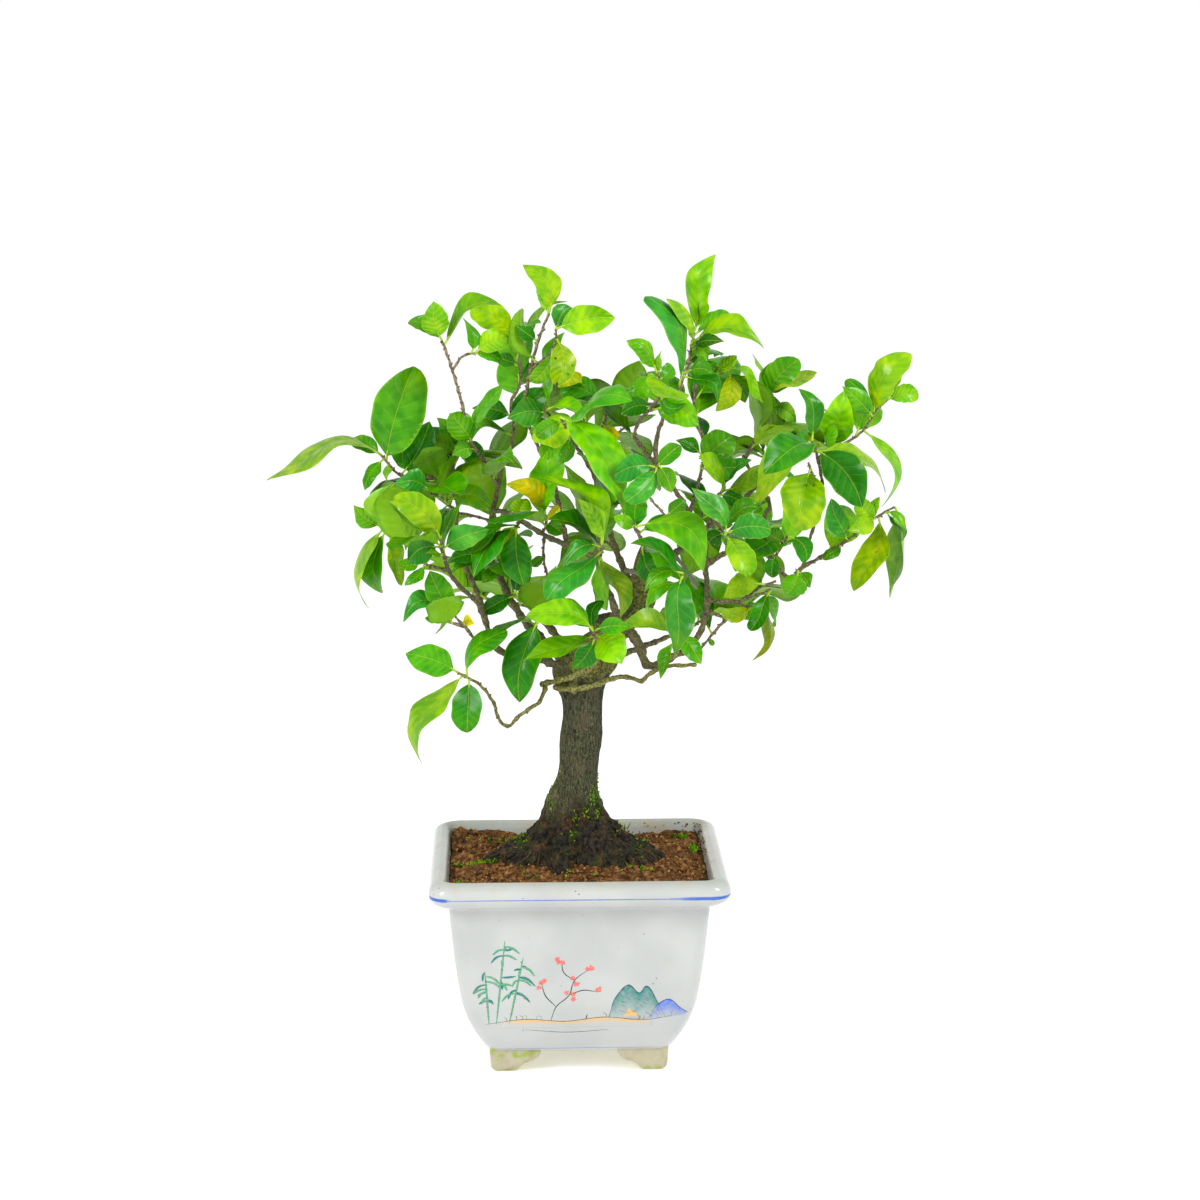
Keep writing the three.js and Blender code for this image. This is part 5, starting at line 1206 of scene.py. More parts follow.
def root_color(shader):
    """The roots' black, with grey dust that is a little lighter along their raised streaks as a painted
    highlight, brown peat, olive moss and clay flecks on it.
    """
    # The grey dust is partly a painted highlight: it is lighter along the raised streaks.
    dust = shader.plus(shader.times(shader.value("streak"), 0.1), shader.noise(2.6, 5, 0.75))
    fibres = shader.fade(shader.noise(1.6, 4, 0.7, (1, 1, 2.2)), 0.35, 0.65)
    peat = shader.mix(fibres, rgb(30, 21, 11), rgb(98, 73, 38))
    return shader.layers(
        shader.mix(shader.fade(dust, 0.38, 0.68), rgb(9, 8, 7), rgb(60, 54, 44)),
        (shader.clouds(7, 4, 0.48, 0.62, 0, 0.85, 0.6), peat),
        (shader.clouds(10, 4, 0.5, 0.66, 0, 0.6, 0.65), rgb(62, 66, 24)),
        (shader.clouds(1.6, 3, 0.66, 0.73, 0, 0.8, 0.7), rgb(150, 104, 60)))


def bark_material():
    """Bark from young brown twigs to the dark fissured trunk and black roots, with moss."""
    shader = Shader("bark", Specular_IOR_Level=0.2)
    moss, pale, young = shader.split("bark")
    fissures = shader.noise(0.8, 4, 0.7, (1, 1, 3.6))
    twig = shader.mix(shader.clouds(1.4, 3, 0.35, 0.65), rgb(86, 72, 52), rgb(154, 138, 108))
    lichen = shader.mix(shader.noise(1.2, 3), rgb(104, 102, 82), rgb(172, 168, 148))
    grown = shader.mix(shader.clouds(1.1, 3, 0.35, 0.65), rgb(78, 80, 32), rgb(156, 154, 82))
    mossy = shader.plus(shader.times(moss, 1.4), shader.noise(3.0, 4, 0.6))
    color = shader.layers(
        shader.mix(shader.fade(fissures, 0.36, 0.66), rgb(36, 37, 24), rgb(84, 86, 60)),
        (shader.clouds(11, 3, 0.5, 0.72, 0, 0.5), rgb(88, 76, 54)),
        (shader.clouds(0.9, 2, 0.63, 0.74, 0, 0.75), rgb(150, 136, 96)),
        (young, twig),
        (pale, lichen),
        (shader.fade(mossy, 0.9, 1.3, 0, 0.85), grown),
        (shader.value("char"), root_color(shader)))
    rough = shader.fade(fissures, 0.3, 0.7, 0.95, 0.7)
    return shader.finish(color, rough, (fissures, 0.6), (shader.noise(0.5, 3), 0.25))


def glaze_material():
    """White porcelain glaze with a blue stripe, stains and specks, algae on the feet and paint, and
    painted shade that greys the rim's top.
    """
    shader = Shader("glaze", Coat_Weight=0.35, Coat_Roughness=0.2, Specular_IOR_Level=0.3)
    stripe, foot, stain = shader.split("pot")
    film = shader.times(stain, shader.clouds(9, 4, 0.45, 0.75))
    specks = shader.times(shader.specks(5.5, 0.05, 0.11), shader.clouds(16, 2, 0.54, 0.62), 0.75)
    cream = shader.mix(shader.noise(5, 3), rgb(160, 154, 122), rgb(184, 178, 150))
    algae = shader.fade(shader.plus(shader.noise(4.0, 4), shader.times(stain, 0.35)), 0.76, 0.94)
    uneven = shader.times(shader.math("SUBTRACT", shader.noise(11, 3), 0.5), 0.9)
    paint = shader.times(shader.value("paint", "Alpha"), shader.clouds(2.2, 3, 0.2, 0.6, 0.65, 1))
    color = shader.layers(
        shader.mix(shader.clouds(34, 3, 0.3, 0.7), rgb(175, 178, 174), rgb(184, 187, 182)),
        # Painted shade: a greyer glaze on the rim's top; the same layer greys the inside of the pot.
        (shader.fade(stain, 0.2, 0.4, 0, 0.35), rgb(160, 163, 158)),
        (shader.times(film, 0.6), rgb(176, 150, 100)),
        (specks, rgb(104, 66, 40)),
        (foot, cream),
        (shader.times(foot, film, 0.8), rgb(122, 106, 54)),
        (shader.times(algae, foot, 0.85), rgb(140, 164, 20)),
        (shader.fade(shader.plus(stripe, uneven), 0.2, 0.85), rgb(42, 90, 180)),
        (paint, shader.value("paint", "Color")))
    roughness = shader.fade(shader.plus(foot, film), 0, 1, 0.16, 0.6)
    return shader.finish(color, roughness, (shader.noise(26, 2), 0.2), (shader.noise(1.5, 2), 0.02))


def soil_material():
    """Baked clay crumbs or moss, each with its own tone, darker in their pores."""
    shader = Shader("soil", Specular_IOR_Level=0.15)
    grain = shader.noise(0.6, 4, 0.7)
    pores = shader.fade(grain, 0.3, 0.7, 1, 0)
    color = shader.mix(pores, shader.value("tone", "Color"), rgb(176, 166, 156), "MULTIPLY")
    return shader.finish(color, shader.fade(grain, 0.3, 0.7, 0.98, 0.85), (grain, 0.3))


def mesh_material():
    """Dark plastic mesh, dusty with clay."""
    shader = Shader("drain_plastic", Specular_IOR_Level=0.4)
    dust = shader.clouds(3, 4, 0.5, 0.75, 0, 0.5)
    color = shader.mix(dust, rgb(24, 27, 27), rgb(92, 66, 46))
    return shader.finish(color, shader.fade(dust, 0, 0.5, 0.5, 0.85), (shader.noise(0.8, 2), 0.08))


def floor_material():
    """Plain matt white table top that is lit from below, so that shadows stay pale and warm."""
    glow = (0.465, 0.445, 0.33, 1)
    shader = Shader("floor_card", Specular_IOR_Level=0.0, Emission_Color=glow, Emission_Strength=1.0)
    return shader.finish(shader.mix(shader.noise(400, 2), (0.69, 0.7, 0.84), (0.7, 0.71, 0.85)), 0.9)


def blade_grid():
    """Where a blade's points lie: along it, across it from -1 to 1, and if on the underside."""
    along = np.linspace(0, 1, LEAF_STATIONS)[:, None]
    along = 0.6 * along + 0.4 * (0.5 - 0.5 * np.cos(math.pi * along))
    top = np.linspace(1, -1, LEAF_COLUMNS + 1)
    across = np.concatenate([top, top[-2:0:-1]])[None]
    under = np.arange(across.size)[None] > LEAF_COLUMNS
    return along, np.sign(across) * np.abs(across) ** 1.1, 1.0 * under


def leaf_surface(leaf, habit, share, across, lift):
    """Points of a leaf that rises and bows along its length and twists about its midrib."""
    rise, bow, twist = habit
    share, across, lift = np.broadcast_arrays(share, across, lift)
    bend = rise * np.sin(math.pi * share) + bow * np.sin(TURN * share)
    turn = (twist * (share - 0.45))[..., None]
    side = leaf.side * np.cos(turn) + leaf.normal * np.sin(turn)
    normal = leaf.normal * np.cos(turn) - leaf.side * np.sin(turn)
    middle = leaf.points(share, 0, 0, leaf.length * bend)
    return middle + side * across[..., None] + normal * lift[..., None]


def leaf_parts(leaf, random):
    """One leaf: a thin blade that is folded, waved and twisted, and a stalk."""
    # u goes along the blade from 0 to 1, and x across it from -1 to 1
    u, x, under = blade_grid()
    shape = leaf.shape or COMMON_SHAPES[random.integers(len(COMMON_SHAPES))]
    fold, camber = random.uniform((0.0, -0.45), (0.5, 0.12))
    habit = random.normal(0, (0.02, 0.045, 0.5))
    phase, waves, seed, skew = random.uniform((0, 1.2, 0, -0.08), (1, 2.6, 1, 0.08))
    width = through(*zip(*BLADES[shape]), u.ravel())[:, None]
    half = LEAF_FULLNESS * leaf.half * width * (1 + skew * np.sign(x))
    half = half * (1 + EDGE_WAVE * np.sin(TURN * (1.7 * waves * u + phase + 0.4 * np.sign(x))))
    wave = np.sin(TURN * (waves * u + phase + 0.3 * np.sign(x)))
    vein = (u - VEIN_SLANT * np.abs(x)) * VEIN_PAIRS + seed
    lift = half * (fold * (np.sqrt(x**2 + 0.01) - 0.1) + camber * x**2)
    lift = lift + leaf.length * BLADE_WAVE * wave * x**2 * width
    lift = lift - GROOVE_DEPTH * np.exp(-((x * half / 0.9) ** 2))
    lift = lift + PILLOW_HEIGHT * np.abs(np.sin(math.pi * vein)) * (1 - x**4) * width
    body = LEAF_THICKNESS + MIDRIB_DEPTH * np.exp(-((x * half / 0.7) ** 2)) * (1 - u)
    lift = lift - under * body * np.clip(1 - x**2, 0, 1) ** 0.5
    stalk_end = min(STALK_LENGTH / leaf.length, 0.12)
    rings = leaf_surface(leaf, habit, stalk_end + (0.994 - stalk_end) * u, x * half, lift)
    blade = loft(rings)
    color, spots = TONES[leaf.tone]
    color = np.clip(color * random.uniform(0.82, 1.15) * (random.uniform(0.8, 1.25), 1, 1), 0, 1)
    place = np.stack(np.broadcast_arrays(u, x, np.abs(x * half)), axis=-1).reshape(-1, 3)
    sides = np.append(np.broadcast_to(under, lift.shape), [0, 0])
    kind = np.column_stack([sides, np.full(len(sides), spots), np.full(len(sides), seed)])
    blade.give(leaf=np.concatenate([place, place[[0, -1]]]), kind=kind, tone=(*color, 1))
    centres = leaf_surface(leaf, habit, np.linspace(0, stalk_end + 0.06, 5), 0, -0.35)
    stalk = tube(centres, np.linspace(1.3, 0.8, 5) * STALK_RADIUS, 7)
    stalk.give(leaf=(0, 0, 0), kind=(1, 0, 0), tone=(*TONES["pale"][0], 1))
    return [blade, stalk]


def knobbly(size, route, step, seed, swell):
    """A smooth route's centres, its radii with swellings and joints, and its shares."""
    centres, share = smooth_route(place_seen(route), step)
    radius = size[0] + (size[1] - size[0]) * share
    lumps = 1 + swell * ripple(centres, 3.2, seed) + 0.6 * swell * ripple(centres, 1.5, seed + 9)
    joints = np.abs(np.sin(math.pi * share * max(lengths_along(centres)[-1] / 8, 1))) ** 10
    centres = centres + 0.5 * np.stack([ripple(centres, 4, seed + turn) for turn in (1, 2, 3)], -1)
    return centres, radius * (lumps + 0.3 * joints), share


def bud_part(base, out, radius):
    """A small pointed bud on a twig."""
    steps = np.array([0, 0.4, 0.9, 1.3, 1.6])[:, None]
    sizes = np.array([0.8, 0.85, 0.7, 0.42, 0.15]) * min(radius, 1.1)
    return tube(base + out * (0.4 * radius + steps), sizes, 6, 1).give(bark=(0.05, 0.1, 0.9), char=0)


def twig_parts(twig, seed, random):
    """One twig with its buds. Twigs near the trunk's fork are mossier."""
    size, route = twig
    centres, radii, _ = knobbly(size, route, 0.9, seed, 0.22)
    radii = radii * TWIG_THINNESS
    ridges = 1 + 0.1 * np.sin(3 * full_turn(9) + 0.7 * np.arange(len(radii))[:, None])
    wood = tube(centres, radii[:, None] * ridges, 9, 1)
    wood.give(bark=(0.55 if route[0][1] < 235 else 0.28, 0.05, 0.95), char=0)
    parts = [wood]
    along = unit(np.gradient(centres, axis=0))
    for index in range(3, len(centres) - 1, 5):
        out = unit(np.cross(along[index], random.normal(size=3)))
        out = unit(out + 0.6 * along[index])
        parts.append(bud_part(centres[index], out, radii[index]))
    return parts


def make_spray(name, leaves, seed, materials):
    """One leafy spray, which stands for the CAD node of the same name."""
    random = np.random.default_rng(seed)
    parts = []
    for number, twig in enumerate(SPRAYS[name]["twigs"]):
        parts += twig_parts(twig, seed * 7.3 + number, random)
    for leaf in leaves:
        parts += leaf_parts(leaf, random)
    made = piece(name + "_look", parts, materials, [name])
    made.data.set_sharp_from_angle(angle=math.radians(75))


def trunk_outline(height, turn, grow=0.0):
    """Points on the trunk's side at heights and turns, both of one length."""
    rows = through([row[0] for row in TRUNK], [row[1:] for row in TRUNK], height)
    left, right, half_depth, depth, folds = rows.T
    flat = place_seen(np.stack([(left + right) / 2, height, depth], axis=-1))
    fold = 1 + folds * (0.6 * np.cos(7 * turn + 0.6) + 0.4 * np.cos(11 * turn + 2))
    x = flat[:, 0] + ((right - left) / 2 * fold + grow) * np.cos(turn)
    y = flat[:, 1] + (half_depth * fold + grow) * np.sin(turn)
    return np.stack([x, y, height], axis=-1)


def stem_part():
    """The trunk without its limbs, as in the CAD but smoother."""
    turns = full_turn(60)
    heights = np.arange(TRUNK[0][0], TRUNK[-1][0] + 0.1, 1.5)
    rings = np.stack([trunk_outline(np.full(len(turns), height), turns) for height in heights])
    return loft(rings, rings[0].mean(axis=0) - UP, rings[-1].mean(axis=0) + UP)


def root_routes():
    """The thick surface roots' routes, as in the CAD."""
    for degrees, reach in ROOTS:
        turn = math.radians(degrees)
        out = [(reach * share + farther, height) for share, farther, height in ROOT_SLOPE]
        yield [(distance * math.cos(turn), distance * ROOT_SPREAD * math.sin(turn), height)
               for distance, height in out]


def root_radius(share):
    """How thick a surface root is at a share of its reach."""
    return ROOT_SIZE[0] + (ROOT_SIZE[1] - ROOT_SIZE[0]) * share


def mound_points(turn, share, lift):
    """Points on the mound of roots: round it by turn, outwards by share, and lifted off it."""
    root_turns, reaches = np.array(ROOTS, float).T
    degrees = np.degrees(turn) % 360
    reach = np.interp(degrees, root_turns, reaches, period=360)
    away = np.abs((degrees[..., None] - root_turns + 180) % 360 - 180).min(axis=-1)
    shares, farther, heights = np.array(ROOT_SLOPE, float).T
    distance = reach * share + np.interp(share, shares, farther)
    ridge = np.cos(np.clip(away / 18, 0, 1) * math.pi / 2)
    height = np.interp(share, shares, heights) + root_radius(share) * (1.1 * ridge - 0.35) + lift
    return np.stack([distance * np.cos(turn), distance * ROOT_SPREAD * np.sin(turn), height], axis=-1)


def mound_part():
    """The body of the mound, which fills the gaps between the roots."""
    turns = full_turn(90)
    rings = [mound_points(turns, np.full(len(turns), share), -0.8) for share in np.linspace(0, 1, 16)]
    return loft(np.array(rings), ROOT_TOP * UP, 104 * UP)


def strand_parts(random, count, radii, lift):
    """Black root strands that run from the trunk down the mound and into the soil."""
    for number in range(count):
        turn = number * GOLDEN_TURN + random.uniform(-0.1, 0.1)
        start, end = random.uniform(-0.22, 0.55), random.uniform(0.75, 1.08)
        share = np.linspace(start, max(end, start + 0.3), 16)
        turns = turn + (random.uniform(-0.35, 0.35) * (share - start)
                        + 0.06 * np.sin(share * random.uniform(6, 16) + number))
        centres = mound_points(turns, np.clip(share, 0, 1), random.uniform(*lift))
        above = np.clip(-share, 0, 1)
        stem = trunk_outline(ROOT_TOP + 60 * above, turns, 0.3)
        centres = np.where(above[:, None] > 0, stem, centres)
        centres[:, 2] -= 14 * np.clip(share - 1, 0, 1)
        radius = random.uniform(*radii) * (1 + 0.3 * ripple(centres, 3, number))
        yield tube(centres, radius * np.linspace(0.6, 1, 16), 6)


def limb_looks(name, radius):
    """A limb's moss, paleness and youth."""
    if name == "cross":
        return 0.4, 0.5, 0.2
    moss = 0.9 if name.startswith("low") else 0.36
    young = 0.7 if radius < 2.5 else 0.5
    return moss, 0.12, young


def wood_parts():
    """The closed parts that are melted into one trunk, and what the bark is like along them.

    Each row of the second is a place, a direction, a radius and the looks: moss, paleness and
    youth.
    """
    parts = [stem_part(), mound_part()]
    rows = []

    def add(centres, radii, sides, looks):
        parts.append(tube(centres, radii, sides))
        along = unit(np.gradient(centres, axis=0))
        looks = np.broadcast_to(looks, (len(centres), len(looks)))
        rows.append(np.concatenate([centres, along, radii[:, None], looks], axis=1))

    for number, (name, limb) in enumerate(LIMBS.items()):
        centres, radii, share = knobbly(*limb, 1.0, number * 5.1, 0.24)
        flare = (0.35 if limb[0][0] > 2.5 else 0.1) * np.exp(-share * 12)
        add(centres, radii * (LIMB_THINNESS + flare), 12, limb_looks(name, limb[0][0]))
    centres, radii, _ = knobbly(*CREST, 1.0, 3.3, 0.2)
    add(centres, radii, 16, (0.1, 0, 0))
    for stub in STUBS:
        centres, radii, _ = knobbly(*stub, 1.0, stub[0][0], 0.1)
        add(centres, radii * LIMB_THINNESS, 10, (0.05, 0.9, 0))
    for number, route in enumerate(root_routes()):
        centres, share = smooth_route(route, 1.5)
        parts.append(tube(centres, root_radius(share) * (1 + 0.15 * ripple(centres, 6, number)), 12))
    parts += strand_parts(np.random.default_rng(41), THICK_STRANDS, (0.8, 2.2), (-1.0, 0.6))
    return parts, np.concatenate(rows)


def nearest_rows(points, skeleton):
    """For each point the nearest row of the skeleton, and how far away it is."""
    tree = kdtree.KDTree(len(skeleton))
    for index, row in enumerate(skeleton):
        tree.insert(Vector(row[:3]), index)
    tree.balance()
    found = [tree.find(Vector(point)) for point in points]
    return skeleton[[index for _, index, _ in found]], np.array([away for _, _, away in found])


def root_streaks(points, away):
    """Noise drawn out along the roots, from the middle of their mound outwards."""
    fanned = np.column_stack([away[:, :2] * 30, np.linalg.norm(points[:, :2], axis=1) / 7])
    fanned[:, 2] += points[:, 2] / 7
    fanned = fanned + 2.2 * ripple(points, 8, 6)[:, None]
    return 0.5 * ripple(fanned, 2.2, 4) + 0.7 * ripple(fanned, 1.1, 9)


def bark_relief(points, along, limb):
    """How far the bark stands out of the melted wood, and the streaks on the roots."""
    away = unit(points * (1, 1, 0) + (1e-6, 0, 0))
    foot = np.clip((ROUGH_UP_TO - points[:, 2]) / 14, 0, 1) * (1 - limb)
    down = unit(away * foot[:, None] + UP * (1.05 - foot[:, None]))
    grain = along * limb[:, None] + down * (1 - limb[:, None])
    stretched = points - grain * (0.8 * (points * grain).sum(axis=1))[:, None]
    fissures = 1 - 2 * np.abs(ripple(stretched, 1.7, 3))
    fine = ripple(points, 1.6, 8)
    streak = root_streaks(points, away)
    rough = 0.5 * ripple(stretched, 1.1, 6) + 0.7 * fine + 1.3 * ripple(points, 4, 2) + 0.6 * streak
    depth = (0.2 * fissures + 0.45 * ripple(points, 9, 5)) * (1 - 0.8 * limb) + 0.2 * limb * fine
    hole = np.linalg.norm(points - place_seen([KNOT_PLACE]), axis=1)
    return depth + foot * rough - KNOT_DEPTH * np.exp(-(hole / KNOT_RADIUS) ** 4), streak


def bark_looks(points, height, looks, limb):
    """How mossy, pale and young the bark is, with moss on the trunk's left side and its top."""
    side = np.clip(-(points[:, 0] + 2) / 16, 0, 1) * np.clip(1 - np.abs(height - 165) / 30, 0, 1)
    looks = looks * limb[:, None]
    looks[:, 0] += (1 - limb) * (0.1 + 0.6 * side + 0.4 * np.clip((height - FORK) / 12, 0, 1))
    return looks


def cut_out(points, quads, values):
    """The part of a mesh that some of its quads make, with their points' named values."""
    used, numbers = np.unique(quads, return_inverse=True)
    chosen = {name: rows[used] for name, rows in values.items()}
    return Part(points[used], numbers.reshape(-1, 4)).give(**chosen)


def tuft_parts(places, directions, size, random):
    """Tiny tufts of moss: a few short blades at each place."""
    for place, out in zip(places, directions):
        green = MOSS_GREENS[random.integers(len(MOSS_GREENS))] * random.uniform(0.75, 1.2)
        for _ in range(random.integers(3, 6)):
            lean = unit(out + 0.9 * random.normal(size=3))
            base = place + 0.5 * size * random.normal(size=3) * (1 - np.abs(out))
            steps = np.array([-0.3, 0.5, 1.0])[:, None] * size * random.uniform(0.7, 1.6)
            centres = base + lean * steps + UP * steps**2 * 0.15
            blade = tube(centres, np.array([0.32, 0.3, 0.12]) * size**0.5, 4)
            yield blade.give(bark=(0, 0, 0), char=0, tone=(*np.clip(green, 0, 1), 1))


def trunk_tufts(points, normals, height, limb, random):
    """Tufts of moss about the spots on the trunk's base, and a few between them."""
    spread = [np.hypot(points[:, 0] - x, (height - z) / 2) / wide for x, z, wide in MOSS_SPOTS]
    mossy = 0.004 + np.exp(-np.array(spread) ** 2).sum(axis=0)
    mossy = mossy * (1 - limb) * (height > TUFTS_FROM) * (height < TUFTS_UP_TO)
    chosen = random.choice(len(points), TRUNK_TUFTS, p=mossy / mossy.sum())
    return tuft_parts(points[chosen], normals[chosen], 0.65, random)


def make_trunk(material, moss_material):
    """The trunk, roots and limbs with fissured bark, a knot hole, fine strands and moss."""
    random = np.random.default_rng(29)
    parts, skeleton = wood_parts()
    points, quads, normals = melt(parts, WOOD_VOXEL, 1)
    height = points[:, 2]
    row, distance = nearest_rows(points, skeleton)
    limb = np.clip((row[:, 6] * 1.6 + 0.6 - distance) / 0.8, 0, 1)
    depth, streak = bark_relief(points, row[:, 3:6], limb)
    points = points + normals * depth[:, None]
    edge = BLACK_UP_TO + 6 * ripple(points, 7, 2) + 9 * np.exp(-((points[:, 0] - 2) / 7) ** 2)
    values = {"bark": bark_looks(points, height, row[:, 7:10], limb), "streak": streak,
              "char": np.clip((edge - height) / 7, 0, 1) * (1 - limb)}
    upper = (limb[quads].min(axis=1) > 0.5) & (height[quads].min(axis=1) > LIMBS_FROM)
    bark, limbs = [cut_out(points, quads[chosen], values) for chosen in (~upper, upper)]
    strands = list(strand_parts(random, THIN_STRANDS, (0.3, 0.7), (0.4, 2.0)))
    for strand in strands:
        strand.give(bark=(random.uniform(0, 0.5), 0, 0.4), char=random.choice([0.75, 0.9, 1]))
    piece("trunk_look", [bark, *strands], [material], ["trunk"])
    piece("limbs_look", [limbs], [material])
    tufts = list(trunk_tufts(points, normals, height, limb, random))
    piece("trunk_moss", tufts, [moss_material])


def rounded_ring(half_length, half_depth, corner, height, steps, runs):
    """A rounded rectangle at one height, with points along its corners and its straight sides."""
    corner = max(corner, 0.5)
    arcs = []
    for quarter, (sign_x, sign_y) in enumerate(QUARTERS):
        turn = np.linspace(0, TURN / 4, steps + 1) + quarter * TURN / 4
        x = sign_x * (half_length - corner) + corner * np.cos(turn)
        y = sign_y * (half_depth - corner) + corner * np.sin(turn)
        arcs.append(np.stack([x, y], axis=-1))
    shares = np.arange(1, runs)[:, None] / runs
    flat = np.concatenate([line for arc, after in zip(arcs, arcs[1:] + arcs[:1])
                           for line in (arc, arc[-1] + (after[0] - arc[-1]) * shares)])
    return np.column_stack([flat, np.full(len(flat), height)])


def pot_ring(half_length, height, corner=RIM_CORNER, steps=10, runs=24):
    """The pot's ring at a half length and height, by the CAD's rule for depth and corners."""
    half_depth = half_length - (RIM_LENGTH - RIM_DEPTH) / 2
    return rounded_ring(half_length, half_depth, corner * half_length / (RIM_LENGTH / 2), height,
                        steps, runs)


def bowl_part():
    """The pot's bowl with its rolled rim. It is a ring, because the drain hole goes through it."""
    outer = smooth_profile(POT_SIDE, 1.1)
    rings = [pot_ring(*row) for row in outer]
    rings += [pot_ring(*row, INNER_CORNER) for row in smooth_profile(POT_INSIDE, 3)]
    turns = np.arctan2(rings[0][:, 1], rings[0][:, 0])
    circle = np.stack([np.cos(turns), np.sin(turns)], axis=-1)
    for height, spread in [(INNER_FLOOR, 20), (INNER_FLOOR, 1.5), (INNER_FLOOR - 1, 0),
                           (BODY_FLOOR + 1, 0), (BODY_FLOOR, 1.5), (BODY_FLOOR, 20)]:
        wide = circle * (DRAIN_RADIUS + spread)
        rings.append(np.column_stack([wide, np.full(len(wide), height)]))
    points = np.concatenate(rings)
    x, y, z = points.T
    outside = np.arange(len(points)) < len(outer) * len(turns)
    thick = np.clip(np.maximum((x - 40) / 26, (-x - 69) / 5), 0, 1)
    stripe = outside * np.exp(-((z - RIM_LINE) / 1.1) ** 4) * thick
    back_right = np.clip((x - 10) / 40, 0, 1) * (y > 40)
    # On the rim's top the stain value rises; there it greys the glaze as painted shade and adds a little
    # brown film.
    stain = np.where(outside, 0.1, 0.45 + 0.5 * back_right) + 0.35 * np.clip((z - 113) / 5, 0, 1)
    bowl = Part(points, ring_quads(len(rings), len(turns), closed=True))
    return bowl.give(pot=np.stack([stripe, 0 * z, stain], axis=-1), paint=(0, 0, 0, 0))


def feet_part():
    """Four bracket feet with softened edges, a little uneven as cast clay is."""
    inward = np.linspace(0, 1, 28) * FOOT_EDGE[-1][0]
    rise = np.interp(inward, *zip(*FOOT_EDGE))
    bottom = np.maximum(rise[:, None], rise[None])
    x = FOOT_SPAN / 2 - inward[:, None] + 0 * bottom
    y = FOOT_SPAN / 2 - FOOT_INSET - inward[None] * FOOT_SLIMNESS + 0 * bottom
    blocks = []
    for sign_x, sign_y in QUARTERS:
        upper = np.stack([sign_x * x * 1.022, sign_y * y * 1.03, np.full_like(x, 18.5)], axis=-1)
        lower = np.stack([sign_x * x, sign_y * y, bottom], axis=-1)
        blocks.append(loft(np.concatenate([upper, lower[:, ::-1]], axis=1)))
    points, quads, normals = melt(blocks, FOOT_VOXEL, 9)
    points = points + normals * (0.14 * ripple(points, 5) + 0.06 * ripple(points, 1.4))[:, None]
    points[:, 2] = np.maximum(points[:, 2], 0)
    x, y, z = points.T
    within = [FOOT_SPAN / 2 - np.abs(x), (FOOT_SPAN / 2 - FOOT_INSET - np.abs(y)) / FOOT_SLIMNESS]
    above_edge = z - np.max([np.interp(inner, *zip(*FOOT_EDGE)) for inner in within], axis=0)
    cream = np.clip((16.5 - z) / 3, 0, 1)
    bands = np.maximum(np.clip((z - 6) / 4, 0, 1), np.clip((2.5 - z) / 2.5, 0, 1))
    stain = 0.3 + 0.6 * (x < 0) * bands + 0.5 * np.clip(1.3 - above_edge, 0, 1)
    return Part(points, quads).give(pot=np.stack([0 * z, cream, stain], axis=-1),
                                    paint=(0, 0, 0, 0))


def front_point(x, z, lift):
    """Points on the pot's painted front, lifted off the glaze."""
    x, z, lift = np.broadcast_arrays(x, z, lift)
    side = smooth_profile(POT_SIDE, 0.9)
    half = np.interp(z, side[:, 1], side[:, 0])
    corner = RIM_CORNER * half / (RIM_LENGTH / 2)
    past = np.clip((np.abs(x) - (half - corner)) / corner, 0, 0.98)
    front = half - (RIM_LENGTH - RIM_DEPTH) / 2 - corner
    away = np.sqrt(1 - past**2)
    return np.stack([x + np.sign(x) * past * lift, -front - away * (corner + lift), z], axis=-1)


def stroke(places, width, color, density=1.0):
    """One brush stroke through places (across, up) on the pot's front, thinner at its ends."""
    line, share = smooth_route(places, 0.8)
    along = unit(np.gradient(line, axis=0))
    across = np.stack([-along[:, 1], along[:, 0]], axis=-1)
    half = width / 2 * (0.3 + 0.7 * np.sin(math.pi * share) ** 0.6)
    ring = []
    for offset, lift in [(1, 0.01), (0, PAINT_LIFT), (-1, 0.01), (0, -0.2)]:
        ring.append(front_point(*(line + across * (half * offset)[:, None]).T, lift))
    return loft(np.stack(ring, axis=1)).give(pot=(0, 0, 0), paint=(*color, density))


def wash(lower, upper, color, fade):
    """A patch of thin paint between two curves, paler by fade towards the lower one."""
    share = np.linspace(0, 1, 30)
    level = np.linspace(0, 1, 12)
    x = lower[0][0] + (lower[-1][0] - lower[0][0]) * share
    low = np.interp(x, *zip(*lower))
    high = np.maximum(np.interp(x, *smooth_route(upper, 0.8)[0].T), low + 0.1)
    z = low[:, None] + (high - low)[:, None] * level
    top = front_point(x[:, None], z, 0.6 * PAINT_LIFT * np.sin(math.pi * level) ** 0.3)
    back = front_point(x[:, None], z[:, ::-1], -0.2)
    strength = np.clip(1 - fade * (1 - level), 0, 1)
    edge = np.clip(np.minimum(share, 1 - share) * 12, 0, 1)[:, None]
    strength = np.append(np.concatenate([strength, strength[::-1]]) * edge, [0, 0])
    paint = np.column_stack([np.tile(color, (len(strength), 1)), strength])
    return loft(np.concatenate([top, back], axis=1)).give(pot=(0, 0, 0), paint=paint)


def bamboo_parts(base, top, lean, random):
    """One stalk of bamboo with its knots and leaves."""
    def spot(share):
        return base + lean * share, BANK_HEIGHT + (top - BANK_HEIGHT) * share

    yield stroke([spot(share) for share in (0, 0.3, 0.6, 1)], 1.1, GREEN)
    for share in (0.16, 0.33, 0.5, 0.66, 0.82):
        x, z = spot(share)
        yield stroke([(x - 0.9, z), (x, z + 0.2), (x + 0.9, z)], 0.35, INK)
    for _ in range(13):
        x, z = spot(random.uniform(0.45, 1))
        reach, drop = random.uniform(-8, 9), random.uniform(-6, 1)
        color = TEAL if random.random() < 0.5 else GREEN
        yield stroke([(x, z), (x + reach * 0.5, z + drop * 0.2), (x + reach, z + drop)], 1.3, color)


